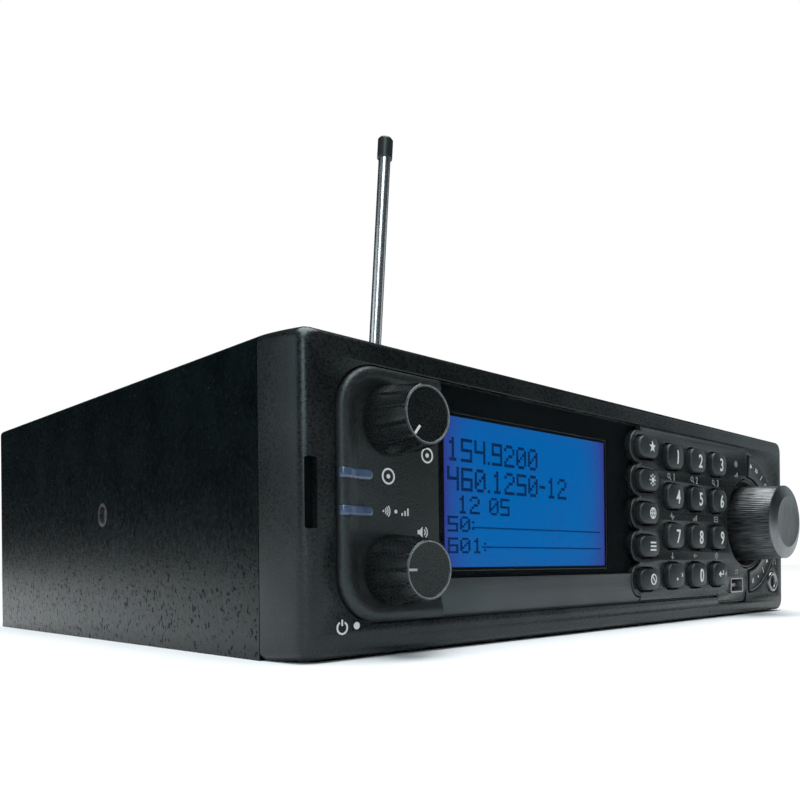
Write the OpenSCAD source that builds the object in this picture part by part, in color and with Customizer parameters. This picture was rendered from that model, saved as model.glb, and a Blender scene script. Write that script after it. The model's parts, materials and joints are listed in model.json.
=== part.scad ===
// Desktop radio scanner: flat metal case with a moulded front, a lit display, a keypad,
// two round controls, a scroll dial and a telescopic rear antenna.
// X runs along the front (right is positive), Y runs back, Z runs up from the case bottom.

/* [Case] */
// Width of the case and of the front bezel
case_w = 184; // [180:1:190]
// Height of the case
case_h = 54.5; // [54:0.5:57]
// Depth from the face of the bezel to the back edge of the covers
case_d = 145; // [140:1:165]
// Thickness of the steel covers
sheet = 1; // [0.8:0.1:1.2]
// Outer radius of the folds in the covers
fold_r = 1.6; // [1.4:0.1:2.5]
// Height of the bracket nuts above the case bottom
bracket_z = 27.5; // [24:0.5:30]
// Distance of the bracket nuts behind the bezel's face
bracket_y = 76; // [60:1:90]

/* [Front bezel] */
// Depth of the moulded bezel
bezel_depth = 11.5; // [11:0.5:12]
// How far each side draws in from the rim to the face
side_taper = 1.05; // [0.6:0.05:1.4]
// How far the top edge draws down towards the face
top_taper = 0.3; // [0.2:0.05:0.6]
// How far the bottom edge rises towards the face
bottom_taper = 0.45; // [0.3:0.05:0.6]
// Extra rise of the bottom edge in the middle of the face
bottom_arch = 0.85; // [0.4:0.05:1]
// Radius round the edge of the face
face_round = 1.6; // [1:0.1:2]
// Radius of the face's corners
face_corner = 2.6; // [2:0.1:3.5]
// Thickness of the bezel's front wall
wall = 3; // [2.8:0.1:3.2]

/* [Display] */
// Width of the display's visible window
window_w = 52; // [50:0.5:54]
// Height of the display's visible window
window_h = 28.75; // [27:0.25:30]
// Middle of the window, to the left of the case's middle
window_x = -33.3; // [-34:0.1:-33]
// Middle of the window above the case bottom
window_z = 29.6; // [29:0.1:30]

/* [Keypad] */
// Width of a number key
digit_w = 8; // [7:0.1:8.6]
// Height of a number key
digit_h = 6.4; // [5.5:0.1:6.8]
// Column spacing of the number keys
digit_pitch_x = 11.95; // [11.5:0.05:12]
// Row spacing of the number keys
digit_pitch_z = 10.23; // [10:0.01:10.4]
// Width of a function key
function_w = 8.8; // [8:0.1:9.2]
// Height of a function key
function_h = 5.3; // [4.8:0.1:5.6]
// Row spacing of the function keys
function_pitch_z = 8.16; // [8:0.01:8.3]
// How far the middle of a key stands in front of the panel
key_rise = 2; // [1.5:0.1:2.4]
// How far a key travels when it is pressed
key_travel = 1; // [0.6:0.1:1.2]

/* [Controls] */
// Radius of the round knobs at the panel
knob_base_r = 6.15; // [5.8:0.05:6.5]
// Radius of the round knobs at their face
knob_face_r = 5.05; // [4.8:0.05:5.4]
// Distance of the round knobs' face in front of the bezel
knob_reach = 10.1; // [9:0.1:11]
// Radius of the scroll dial at its base
dial_r = 11.1; // [10.8:0.05:11.3]
// Distance of the scroll dial's rim in front of the bezel
dial_reach = 12; // [11:0.1:13]
// How far the scroll dial travels when it is pushed
dial_travel = 0.8; // [0.5:0.1:0.9]
// Radius of the control shafts
shaft_r = 3; // [2.9:0.05:3.1]

/* [Antenna] */
// Lean of the antenna from upright, in degrees
antenna_lean = 4.45; // [0:0.05:8]
// Length of the closed antenna from its hinge to its tip
antenna_l = 176.7; // [165:0.1:190]
// Outer radius of the antenna's outer tube
tube_r = 2.6; // [2.4:0.01:2.8]
// Antenna socket to the right of the case's middle
antenna_x = 50.6; // [48:0.1:54]
// Height of the antenna socket
antenna_z = 27.3; // [26:0.1:30]

/* [Hidden] */
fine = 96;                                  // facets of the plain round parts
fit = 0.05;                                 // radial clearance of a running fit
gap = 0.2;                                  // gap between neighbouring fixed parts
front_y = -case_d / 2;                      // plane of the bezel's face
arch_r = 4700;                              // radius of the arch along the face's bottom edge

// Raised island that holds the controls, the display and the keys
island_rise = 0.6;                          // face of the island, in front of the bezel
island_back = 1;                            // back of the island's plates, behind the face
pocket = 1.2;                               // depth of the bezel's pocket for the island
island_left = -84.5;
island_top = 49.6;
island_bottom = 6.1;
island_corner = 8;
lens_left = -61.85;
strip_top = 13.2;
seam_x = 63.6;                              // right-hand end of the keypad panel

// Key rows and columns
digit_x = 20.4;
digit_z = 12.4;
function_x = 7.8;
function_z = 11.65;
scallop_x = 5.15;
scallop_r = 4.15;
key_corner = 2.4;
key_slack = 0.35;                           // clearance round a key in its hole
flange_y = 1.3;                             // front of a key's flange
flange_t = 0.8;
flange_out = 0.7;                           // flange beyond the key, each side
plunger_r = 1.9;
mat_y = 3.4;
mat_t = 1;
board_y = 8;                                // front of the front circuit board
board_t = 1.6;
plunger_end = board_y - 0.3 - key_travel;    // back of a key's plunger, at rest

// Round controls
knob_x = -73.4;
squelch_z = 40.6;
volume_z = 14.9;
knob_gap = 0.6;                             // gap between a knob and the panel
knob_flutes = 12;
pot_r = 8.25;
bushing_r = 3.5;
dial_x = 64.4;
dial_z = 27.25;
dial_chamfer_r = 7.3;
bowl_r = 13.1;
bowl_floor = 2.8;
crescent_in = 14.2;
crescent_out = 20.5;
crescent_rise = 0.35;
crescent_slack = 0.25;
crescent_angles = [[3, 86], [-86, -3]];
rotor_y = 11.4;
rotor_t = 1.8;
rotor_r = 4.8;

// Small openings in the front
bar_z = [24.8, 31];                         // light bars
bar_h = 1.7;
bar_tip = -77.6;
slot_x = 89.4;
slot_w = 2;
slot_low = 21.7;
slot_high = 33.2;
usb_x = 56.6;
usb_z = 9;
usb_w = 7.7;
usb_h = 4.3;
tab_left = 46.6;
tab_low = 4.05;
phone_x = 82.4;
phone_z = 9.5;
plug_r = 1.78;                              // bore of a 3.5 mm socket

// Rear panel
panel_y = case_d - 2;                       // front of the rear panel, behind the face
panel_t = 1.4;
port_x = 10;
port_z = 27;
power_x = -30;
power_z = 27;
jack_x = [-52, -68];
jack_z = 27;
screw_r = 1.5;
screw_l = 4.2;
screw_head_r = 2.8;
screw_head_t = 1.8;
rear_screw_x = 81;
rear_screw_z = [7, 47.5];

// Main board and speaker
main_z = 12;
main_left = -84;
main_front = 26;
main_back = 134;
main_screw_x = 78;
main_screw_y = [32, 128];
speaker_x = -12;
speaker_y = 64;
speaker_r = 28;
speaker_hole = 28.5;                        // corner hole's distance from the middle
speaker_z = 49;

// Antenna, in its own upright frame round the socket's axis
whip_y = case_d + 20.5;                     // tilt hinge, behind the bezel's face
jack_end = case_d + 10;
collar_r = 7.25;
hinge_pin_r = 1.25;
tongue_t = 3.6;
socket_low = 5.5;
socket_high = 16;
tip_l = 9;
tip_r = 3.3;
tube_wall = 0.35;
tube_top = antenna_l - tip_l - 0.1;         // upper end of the outer tube above the hinge
middle_r = tube_r - tube_wall - 0.07;
rod_r = middle_r - tube_wall - fit;

// ---- helpers ----

// Rounded rectangle about the origin, made of straight and round pieces only
module rounded(w, h, r) {
    square([w - 2 * r, h], center = true);
    square([w, h - 2 * r], center = true);
    for (x = [-1, 1], z = [-1, 1])
        translate([x * (w / 2 - r), z * (h / 2 - r)]) circle(r = r, $fn = 32);
}

// Rounded rectangle between two corners
module plate_2d(x0, x1, z0, z1, r) {
    translate([(x0 + x1) / 2, (z0 + z1) / 2]) rounded(x1 - x0, z1 - z0, r);
}

// Extrudes a front view between two depths behind the bezel's face
module from_front(y0, y1) {
    translate([0, front_y + y1, 0]) rotate([90, 0, 0])
        linear_extrude(height = y1 - y0) children();
}

// Extrudes a side view (depth, height) from left to right
module across(x0, x1) {
    translate([x0, front_y, 0]) rotate([90, 0, 90])
        linear_extrude(height = x1 - x0) children();
}

// Round bar along Y, with its radius at the back and at the front
module round_y(x, z, y0, y1, r_back, r_front) {
    translate([x, front_y + y1, z]) rotate([90, 0, 0])
        cylinder(h = y1 - y0, r1 = r_back, r2 = r_front, $fn = fine);
}

module bar_y(x, z, y0, y1, r) {
    round_y(x, z, y0, y1, r, r);
}

module block(x0, x1, y0, y1, z0, z1) {
    translate([x0, front_y + y0, z0]) cube([x1 - x0, y1 - y0, z1 - z0]);
}

module post(x, y, z0, z1, r) {
    translate([x, front_y + y, z0]) cylinder(h = z1 - z0, r = r, $fn = 48);
}

// ---- case ----

// Folded channel seen from the front: a top with two sides, open below
module channel_2d(w, h, r, t) {
    difference() {
        union() {
            translate([0, h / 2]) rounded(w, h, r);
            translate([-w / 2, 0]) square([w, h / 2]);
        }
        translate([0, (h - t) / 2]) rounded(w - 2 * t, h - t, r - t + 0.2);
        translate([-w / 2 + t, -1]) square([w - 2 * t, h / 2]);
    }
}

module rear_tabs(z0, z1) {
    for (s = [-1, 1])
        block(s * rear_screw_x - 6, s * rear_screw_x + 6, panel_y - 1.6, panel_y - gap, z0, z1);
}

module rear_screw_holes() {
    for (s = [-1, 1], z = rear_screw_z)
        bar_y(s * rear_screw_x, z, panel_y - 12, case_d + 5, screw_r + 0.02);
}

module top_cover() {
    color([0.10, 0.10, 0.11]) difference() {
        union() {
            from_front(bezel_depth + gap, case_d) channel_2d(case_w, case_h, fold_r, sheet);
            rear_tabs(42, case_h - sheet + 0.1);
            for (x = [-1, 1], y = [-1, 1])
                post(speaker_x + x * speaker_hole, speaker_y + y * speaker_hole,
                     speaker_z + 1.3, case_h - sheet + 0.1, 3);
        }
        rear_screw_holes();
        for (s = [-1, 1]) translate([s * case_w / 2, front_y + bracket_y, bracket_z])
            rotate([0, 90, 0]) cylinder(h = 6, r = 2.65, center = true, $fn = 48);
        // speaker grille
        for (i = [-5:5])
            translate([speaker_x, front_y + speaker_y + i * 4.4, case_h - 2])
                linear_extrude(height = 4) rounded(2 * sqrt(pow(speaker_r, 2) - pow(i * 4.4, 2)), 2, 0.95);
        for (x = [-1, 1], y = [-1, 1])
            post(speaker_x + x * speaker_hole, speaker_y + y * speaker_hole,
                 speaker_z, case_h - sheet - 0.2, screw_r + 0.02);
    }
}

module bottom_cover() {
    floor_x = case_w / 2 - sheet - gap;
    color([0.10, 0.10, 0.11]) difference() {
        union() {
            block(-floor_x, floor_x, bezel_depth + gap, case_d, 0, sheet);
            for (s = [-1, 1]) block(s * floor_x - (s + 1) / 2 * sheet, s * floor_x - (s - 1) / 2 * sheet,
                                    bezel_depth + gap, panel_y - 2, 0, 9);
            rear_tabs(0.5, 12);
            for (s = [-1, 1], y = main_screw_y) post(s * main_screw_x, y, 0.5, main_z, 3.4);
        }
        rear_screw_holes();
        for (s = [-1, 1], y = main_screw_y)
            post(s * main_screw_x, y, main_z - 6.5, main_z + 1, screw_r + 0.02);
    }
}

module port_2d(grow) {
    translate([port_x, port_z]) hull() for (s = [-1, 1]) {
        translate([s * (6.6 + grow), 2.5 + grow]) circle(r = 1.6, $fn = 24);
        translate([s * (5.8 + grow), -2.5 - grow]) circle(r = 1.6, $fn = 24);
    }
}

module rear_panel() {
    x = case_w / 2 - sheet - gap;
    color([0.12, 0.12, 0.13]) difference() {
        block(-x, x, panel_y, panel_y + panel_t, sheet + gap, case_h - sheet - gap);
        rear_screw_holes();
        bar_y(antenna_x, antenna_z, panel_y - 1, case_d, 4.9);
        bar_y(power_x, power_z, panel_y - 1, case_d, 5.5);
        for (x = jack_x) bar_y(x, jack_z, panel_y - 1, case_d, 4.1);
        from_front(panel_y - 1, case_d) port_2d(0.5);
        for (s = [-1, 1]) bar_y(port_x + s * 12.5, port_z, panel_y - 1, case_d, 1.7);
    }
}

module bracket_nuts() {
    color([0.55, 0.55, 0.57]) for (s = [-1, 1])
        translate([s * (case_w / 2 - 0.15), front_y + bracket_y, bracket_z]) rotate([0, -90 * s, 0])
            difference() {
                union() {
                    cylinder(h = 7, r = 2.6, $fn = 48);
                    translate([0, 0, 1.05]) cylinder(h = 1.6, r = 4.2, $fn = 48);
                }
                translate([0, 0, -1]) cylinder(h = 10, r = 1.65, $fn = 48);
                translate([0, 0, -1]) cylinder(h = 2.3, r = 2, $fn = 48);
            }
}

module screw_y(x, z) {
    bar_y(x, z, panel_y + panel_t - screw_l, panel_y + panel_t + 0.01, screw_r);
    difference() {
        bar_y(x, z, panel_y + panel_t, panel_y + panel_t + screw_head_t, screw_head_r);
        for (a = [0, 90]) translate([x, front_y + panel_y + panel_t + screw_head_t, z])
            rotate([0, a, 0]) cube([2.8, 1.6, 0.6], center = true);
    }
}

// Upright screw; up = 1 has its head on top, up = -1 has it below
module screw_z(x, y, z, up) {
    translate([x, front_y + y, z]) mirror([0, 0, up > 0 ? 0 : 1]) {
        translate([0, 0, -screw_l]) cylinder(h = screw_l + 0.01, r = screw_r, $fn = 32);
        difference() {
            cylinder(h = screw_head_t, r = screw_head_r, $fn = 32);
            for (a = [0, 90]) translate([0, 0, screw_head_t]) rotate([0, 0, a])
                cube([2.8, 0.6, 1.6], center = true);
        }
    }
}

module case_screws() {
    color([0.35, 0.35, 0.37]) {
        for (s = [-1, 1], z = rear_screw_z) screw_y(s * rear_screw_x, z);
        for (s = [-1, 1], y = main_screw_y) screw_z(s * main_screw_x, y, main_z + board_t + 0.05, 1);
        for (x = [-1, 1], y = [-1, 1])
            screw_z(speaker_x + x * speaker_hole, speaker_y + y * speaker_hole, speaker_z - 0.05, -1);
    }
}

// ---- front bezel and its panels ----

// One thin slice of the bezel's outside: draw is how far it is drawn in, 0 to 1, and inset is
// the extra rounding at the edge of the face
module bezel_slice(y, t, draw, inset) {
    x = case_w / 2 - side_taper * draw - inset;
    from_front(y, y + t)
        plate_2d(-x, x, bottom_taper * draw + inset, case_h - top_taper * draw - inset,
                 fold_r + (face_corner - fold_r) * draw - inset * 0.5);
}

module bezel_outside() {
    rim = 7.5;
    hull() {
        bezel_slice(rim, bezel_depth - rim, 0, 0);
        for (a = [0:22.5:90])
            bezel_slice(face_round * (1 - sin(a)), 0.01, 1 - 0.9 * face_round * (1 - sin(a)) / rim,
                        face_round * (1 - cos(a)) * 0.45);
    }
}

// The controls panel seen from the front
module knob_panel_2d(grow) {
    x1 = lens_left - gap;
    difference() {
        plate_2d(island_left - grow, x1 + island_corner * 2, island_bottom - grow, island_top + grow,
                 island_corner);
        translate([x1 + grow, 0]) square([40, 60]);
    }
}

// The keypad panel seen from the front, with its scalloped left edge
module keypad_2d(grow) {
    difference() {
        union() {
            translate([scallop_x + 0.6, island_bottom - grow])
                square([seam_x + grow - scallop_x - 0.6, island_top - island_bottom + 2 * grow]);
            for (i = [0:4]) translate([scallop_x, function_z + i * function_pitch_z])
                circle(r = scallop_r + grow, $fn = 48);
            plate_2d(tab_left - grow, seam_x + grow, tab_low - grow, tab_low + 6, 1);
        }
        translate([dial_x, dial_z]) circle(r = bowl_r + 0.4 - grow, $fn = fine);
    }
}

module island_2d(grow) {
    knob_panel_2d(grow);
    keypad_2d(grow);
    translate([lens_left - 1, island_bottom - grow])
        square([scallop_x + 3 - lens_left, island_top - island_bottom + 2 * grow]);
}

// A sector of the ring round the dial, from angle a0 to a1
module crescent_2d(a0, a1, grow) {
    far = 2 * crescent_out;
    translate([dial_x, dial_z]) difference() {
        circle(r = crescent_out + grow, $fn = fine);
        circle(r = crescent_in - grow, $fn = fine);
        rotate(a0) translate([-far, -far - grow]) square([2 * far, far]);
        rotate(a1) translate([-far, grow]) square([2 * far, far]);
    }
}

module front_bezel() {
    x = case_w / 2;
    inner = 2.2;
    color([0.11, 0.11, 0.12]) difference() {
        union() {
            difference() {
                bezel_outside();
                from_front(wall, bezel_depth + 1)
                    plate_2d(-x + inner, x - inner, inner, case_h - inner, 2);
            }
            // thicker seat for the dial's bowl
            bar_y(dial_x, dial_z, wall - 0.5, bowl_floor + 1.6, bowl_r + 0.4);
            // tongues that slip inside the covers
            for (s = [-1, 1]) {
                block(s * 50 - 12, s * 50 + 12, wall - 0.5, bezel_depth + 6, sheet + gap, 2.4);
                block(s * 50 - 12, s * 50 + 12, wall - 0.5, bezel_depth + 6,
                      case_h - 2.4, case_h - sheet - gap);
            }
        }
        // gentle arch along the bottom of the face
        translate([0, front_y, bottom_taper + bottom_arch]) rotate([-10.5, 0, 0])
            translate([0, 9, -arch_r]) rotate([90, 0, 0]) cylinder(h = 20, r = arch_r, $fn = 1440);
        // pocket for the island, and the openings behind it
        from_front(-1, pocket) island_2d(gap);
        from_front(-1, wall + 1) around_window(3.3, 1);
        from_front(-1, wall + 1) plate_2d(function_x - 6, digit_x + 2 * digit_pitch_x + 5.2,
                                          7.9, 48.3, 2);
        for (z = [squelch_z, volume_z]) bar_y(knob_x, z, -1, wall + 1, shaft_r + 0.6);
        for (z = bar_z) from_front(-1, wall + 1)
            plate_2d(island_left - gap, bar_tip + gap, z - bar_h / 2 - gap, z + bar_h / 2 + gap, 1);
        from_front(-1, wall + 1)
            plate_2d(usb_x - usb_w / 2 - gap, usb_x + usb_w / 2 + gap, usb_z - usb_h / 2 - gap,
                     usb_z + usb_h / 2 + gap, 0.6);
        bar_y(phone_x, phone_z, -1, wall + 1, 3.4);
        for (s = [-1, 1]) from_front(-1, wall + 1)
            plate_2d(s * slot_x - slot_w / 2, s * slot_x + slot_w / 2, slot_low, slot_high, 0.4);
        // bowl, shaft hole and crescent key openings
        round_y(dial_x, dial_z, -1, bowl_floor, bowl_r - 1.9, bowl_r + 0.7);
        bar_y(dial_x, dial_z, 0, bowl_floor + 3, shaft_r + 0.6);
        for (a = crescent_angles) from_front(-1, wall + 1)
            crescent_2d(a[0], a[1], crescent_slack);
    }
}

module control_holes(r) {
    for (z = [squelch_z, volume_z]) bar_y(knob_x, z, -4, wall + 1, r);
}

module knob_panel() {
    crest = 1.2;
    color([0.13, 0.13, 0.14]) difference() {
        hull() {
            from_front(0, island_back) knob_panel_2d(0);
            from_front(-crest * 0.7, 0) knob_panel_2d(-0.5);
            from_front(-crest, 0) knob_panel_2d(-1.2);
        }
        // the floor inside the rim, open towards the display
        hull() {
            from_front(-crest - 0.01, -crest) panel_floor_2d(0);
            from_front(-island_rise + 0.4, -0.19) panel_floor_2d(0.9);
        }
        control_holes(shaft_r + 0.6);
        for (z = bar_z) from_front(-4, 4)
            plate_2d(island_left - 4, bar_tip + 0.05, z - bar_h / 2 - 0.05, z + bar_h / 2 + 0.05,
                     bar_h / 2);
    }
}

module panel_floor_2d(inset) {
    rim = 1.6 + inset;
    plate_2d(island_left + rim, lens_left + 20, island_bottom + rim, island_top - rim,
             island_corner - 2);
}

module light_bars() {
    color([0.45, 0.55, 0.75]) for (z = bar_z) from_front(-1.15, board_y - gap)
        plate_2d(island_left + 0.1, bar_tip, z - bar_h / 2, z + bar_h / 2, bar_h / 2 - 0.05);
}

// Everything that the display lens covers
module lens_2d() {
    difference() {
        translate([lens_left, strip_top + 0.1])
            square([scallop_x + 3 - lens_left, island_top - strip_top - 0.1]);
        keypad_2d(gap);
    }
}

module display_lens() {
    color([0.03, 0.03, 0.04]) from_front(-island_rise, island_back) lens_2d();
}

// Side view of the island: a flat face that rolls back along its lower edge
module roll_2d(low) {
    hull() {
        translate([-island_rise, island_bottom + 5.2]) square([island_rise + island_back,
                                                              island_top - island_bottom - 5.2]);
        translate([0.3, low]) square([island_back - 0.3, 1]);
        for (a = [0:15:75]) translate([-island_rise + 1.5 * (1 - cos(a)),
                                       island_bottom + 5.2 - 5.2 * sin(a)]) square([0.3, 0.1]);
    }
}

module trim_strip() {
    color([0.20, 0.20, 0.21]) intersection() {
        from_front(-2, island_back) difference() {
            translate([lens_left, island_bottom])
                square([scallop_x + 3 - lens_left, strip_top - island_bottom]);
            keypad_2d(gap);
        }
        across(-case_w / 2, case_w / 2) roll_2d(island_bottom);
    }
}

// Runs its children once for each number key and once for each function key
module at_keys() {
    for (c = [0:2], r = [0:3])
        translate([digit_x + c * digit_pitch_x, digit_z + r * digit_pitch_z]) children(0);
    for (r = [0:4]) translate([function_x, function_z + r * function_pitch_z]) children(1);
}

module keypad_panel() {
    color([0.13, 0.13, 0.14]) difference() {
        union() {
            intersection() {
                from_front(-2, island_back) keypad_2d(0);
                across(-case_w / 2, case_w / 2) roll_2d(island_bottom);
            }
            from_front(-0.35, island_back) intersection() {
                keypad_2d(0);
                translate([tab_left, tab_low]) square([seam_x - tab_left, 7.6]);
            }
        }
        from_front(-4, 4) at_keys() {
            rounded(digit_w + 2 * key_slack, digit_h + 2 * key_slack, key_corner + key_slack);
            rounded(function_w + 2 * key_slack, function_h + 2 * key_slack, key_corner + key_slack);
        }
        from_front(-4, 4) plate_2d(usb_x - usb_w / 2 - 0.05, usb_x + usb_w / 2 + 0.05,
                                   usb_z - usb_h / 2 - 0.05, usb_z + usb_h / 2 + 0.05, 0.5);
    }
}

// Rounded rectangle that reaches beyond the display's window on every side
module around_window(out, r) {
    translate([window_x, window_z]) rounded(window_w + 2 * out, window_h + 2 * out, r);
}

module lcd_glass() {
    color([0, 0.35, 0.75]) from_front(1.3, 3.1)
        around_window(3, 0.5);
}

module lcd_frame() {
    color([0.6, 0.6, 0.62]) difference() {
        union() {
            from_front(3.2, 7) around_window(4.8, 1);
            for (x = [-18, 18], z = [-19.9, 18.9])
                block(window_x + x - 1.5, window_x + x + 1.5, 5, board_y - 0.1, window_z + z,
                      window_z + z + 1);
        }
        from_front(3, 3.8) around_window(1, 0.5);
    }
}

module front_board() {
    color([0.05, 0.28, 0.15]) difference() {
        union() {
            from_front(board_y, board_y + board_t) plate_2d(-87, 87, 3.4, 51, 1);
            block(window_x - 20, window_x + 20, board_y + board_t - 0.1, board_y + 5, 8, 13);
            block(22, 38, board_y + board_t - 0.1, board_y + 3.2, 24, 40);
        }
        for (z = [squelch_z, volume_z]) bar_y(knob_x, z, 0, 20, bushing_r + 0.2);
        bar_y(dial_x, dial_z, 0, 20, bushing_r + 0.2);
        bar_y(phone_x, phone_z, 0, 20, 4);
        for (s = [-1, 1]) block(s * 50 - 13, s * 50 + 13, 0, 20, 0, 3.6);
    }
}

module key_mat() {
    color([0.25, 0.25, 0.27]) difference() {
        from_front(mat_y, mat_y + mat_t) plate_2d(function_x - 6.4, 50.6, 7.6, 48.8, 2);
        from_front(mat_y - 1, mat_y + mat_t + 1) at_keys() {
            circle(r = plunger_r + 0.4, $fn = 32);
            circle(r = plunger_r + 0.4, $fn = 32);
        }
    }
}

// ---- sockets on the front ----

module usb_port() {
    color([0.62, 0.62, 0.64]) difference() {
        from_front(-0.7, board_y - 0.05) plate_2d(usb_x - usb_w / 2, usb_x + usb_w / 2,
                                                  usb_z - usb_h / 2, usb_z + usb_h / 2, 0.5);
        from_front(-1, 6) plate_2d(usb_x - usb_w / 2 + 0.4, usb_x + usb_w / 2 - 0.4,
                                   usb_z - usb_h / 2 + 0.4, usb_z + usb_h / 2 - 0.4, 0.3);
    }
    color([0.05, 0.05, 0.05]) from_front(1, 6.1)
        plate_2d(usb_x - 2.4, usb_x + 2.4, usb_z - 0.5, usb_z + 0.5, 0.1);
}

module headphone_jack() {
    color([0.5, 0.5, 0.52]) difference() {
        union() {
            bar_y(phone_x, phone_z, -0.5, 4, 3.2);
            bar_y(phone_x, phone_z, 3.5, 14, 3.7);
        }
        bar_y(phone_x, phone_z, -1, 12.5, plug_r);
    }
}

// ---- controls ----

// Body, bushing and terminals of a rotary control behind the front board
module pot(z, depth) {
    y = board_y + board_t + 0.1;
    difference() {
        union() {
            bar_y(knob_x, z, y, y + depth, pot_r);
            bar_y(knob_x, z, wall + 0.3, y + 1, bushing_r);
            for (i = [-1:1]) block(knob_x + i * 4 - 0.6, knob_x + i * 4 + 0.6, y + 1, y + 2,
                                   z - pot_r - 2.5, z - pot_r + 3);
        }
        bar_y(knob_x, z, 0, y + 5.5, shaft_r + fit);
    }
}

module volume_pot() color([0.45, 0.45, 0.47]) pot(volume_z, 11);
module squelch_pot() color([0.45, 0.45, 0.47]) pot(squelch_z, 7.5);

module control_shaft(z) {
    color([0.7, 0.7, 0.72]) bar_y(knob_x, z, -8.6, board_y + board_t + 5.2, shaft_r);
}

module volume_shaft() control_shaft(volume_z);
module squelch_shaft() control_shaft(squelch_z);

// Tapered fluted knob; angle is where its pointer stands, counted from the right
module round_knob(z, angle) {
    color([0.07, 0.07, 0.08]) difference() {
        union() {
            round_y(knob_x, z, -knob_reach + 0.5, -knob_gap, knob_base_r, knob_face_r);
            round_y(knob_x, z, -knob_reach, -knob_reach + 0.5, knob_face_r, knob_face_r - 0.35);
        }
        bar_y(knob_x, z, -8.8, 1, shaft_r + 0.02);
        for (i = [0:knob_flutes - 1]) translate([knob_x, front_y, z])
            rotate([0, -angle - (i + 0.5) * 360 / knob_flutes, 0])
                translate([knob_base_r + 0.1, -1.5, 0]) rotate([90, 0, 0]) rotate([0, -6.8, 0])
                    cylinder(h = 12, r = 0.35, $fn = 16);
        translate([knob_x, front_y - knob_reach, z]) rotate([0, -angle, 0])
            translate([knob_face_r - 2.4, -1, -0.3]) cube([3, 1.25, 0.6]);
    }
}

module volume_knob() round_knob(volume_z, 180);
module squelch_knob() round_knob(squelch_z, 230);

module scroll_encoder() {
    y = board_y + board_t + 0.1;
    color([0.4, 0.4, 0.42]) difference() {
        union() {
            from_front(y, y + 7.5) plate_2d(dial_x - 6.2, dial_x + 6.2, dial_z - 6.7, dial_z + 6.7, 1);
            bar_y(dial_x, dial_z, bowl_floor + 1.8, y + 1, bushing_r);
            for (i = [-1:1]) block(dial_x + i * 3 - 0.5, dial_x + i * 3 + 0.5, y + 1, y + 2,
                                   dial_z - 9.5, dial_z - 6);
        }
        bar_y(dial_x, dial_z, 0, y + 5.7 + dial_travel, shaft_r + fit);
        bar_y(dial_x, dial_z, rotor_y - 0.3, rotor_y + rotor_t + 0.3, rotor_r + 0.3);
    }
}

module encoder_rotor() {
    color([0.75, 0.6, 0.3]) difference() {
        bar_y(dial_x, dial_z, rotor_y, rotor_y + rotor_t, rotor_r);
        bar_y(dial_x, dial_z, rotor_y - 1, rotor_y + rotor_t + 1, shaft_r + fit);
    }
}

module scroll_shaft() {
    color([0.7, 0.7, 0.72]) bar_y(dial_x, dial_z, -9.5, board_y + board_t + 5.5, shaft_r);
}

module scroll_dial() {
    base = 1.2;
    taper = 0.6;
    color([0.72, 0.73, 0.75]) difference() {
        union() {
            round_y(dial_x, dial_z, -dial_reach, base, dial_r, dial_r - taper);
            round_y(dial_x, dial_z, -dial_reach - 1, -dial_reach, dial_r - taper, dial_chamfer_r);
        }
        // hollow back with a hub
        difference() {
            bar_y(dial_x, dial_z, -dial_reach + 1.5, base + 1, dial_r - 2.2);
            bar_y(dial_x, dial_z, -dial_reach, base + 2, 4.6);
        }
        bar_y(dial_x, dial_z, -9.7, base + 1, shaft_r + 0.02);
    }
}

// ---- keys ----

// One crowned key with its flange and plunger, in the bezel's depth, about its own middle
module key_cap(x, z, w, h) {
    crown = 1.2;
    crown_r = (pow(norm([w, h]) / 2, 2) + crown * crown) / (2 * crown);
    front = -island_rise - key_rise;
    color([0.08, 0.08, 0.09]) {
        intersection() {
            from_front(front - 1, flange_y + 0.1)
                translate([x, z]) rounded(w, h, key_corner);
            union() {
                translate([x, front_y + front + crown_r, z]) sphere(r = crown_r, $fn = fine);
                block(x - w, x + w, -island_rise, 5, z - h, z + h);
            }
        }
        from_front(flange_y, flange_y + flange_t)
            translate([x, z]) rounded(w + 2 * flange_out, h + 2 * flange_out, key_corner);
        bar_y(x, z, flange_y, plunger_end, plunger_r);
    }
}

module digit_key(col, row)
    key_cap(digit_x + col * digit_pitch_x, digit_z + row * digit_pitch_z, digit_w, digit_h);

module function_key(row)
    key_cap(function_x, function_z + row * function_pitch_z, function_w, function_h);

// A crescent key beside the dial, with its hidden flange and plunger
module crescent_key(a0, a1) {
    mid = (a0 + a1) / 2;
    r = (crescent_in + crescent_out) / 2;
    color([0.10, 0.10, 0.11]) {
        from_front(-crescent_rise, wall + 0.4) crescent_2d(a0, a1, 0);
        from_front(wall + 0.3, wall + 1) difference() {
            crescent_2d(a0 + 1.5, a1 - 1.5, 0.6);
            translate([dial_x, dial_z]) circle(r = crescent_in, $fn = fine);
        }
        bar_y(dial_x + r * cos(mid), dial_z + r * sin(mid), wall + 0.5, plunger_end, plunger_r);
    }
}

// ---- inside the case ----

module main_board() {
    color([0.05, 0.28, 0.15]) difference() {
        union() {
            block(main_left, -main_left, main_front, main_back, main_z, main_z + board_t);
            block(-60, -36, 90, 114, main_z + 1, main_z + 3.4);
            block(-20, -2, 96, 112, main_z + 1, main_z + 3.2);
            for (i = [0:3]) post(-66 + i * 12, 44, main_z + 1, main_z + 14, 4.5);
            block(-76, -66, 92, 118, main_z + 1, main_z + 16);
        }
        for (s = [-1, 1], y = main_screw_y)
            post(s * main_screw_x, y, main_z - 1, main_z + 3, screw_r + 0.1);
    }
}

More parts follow.
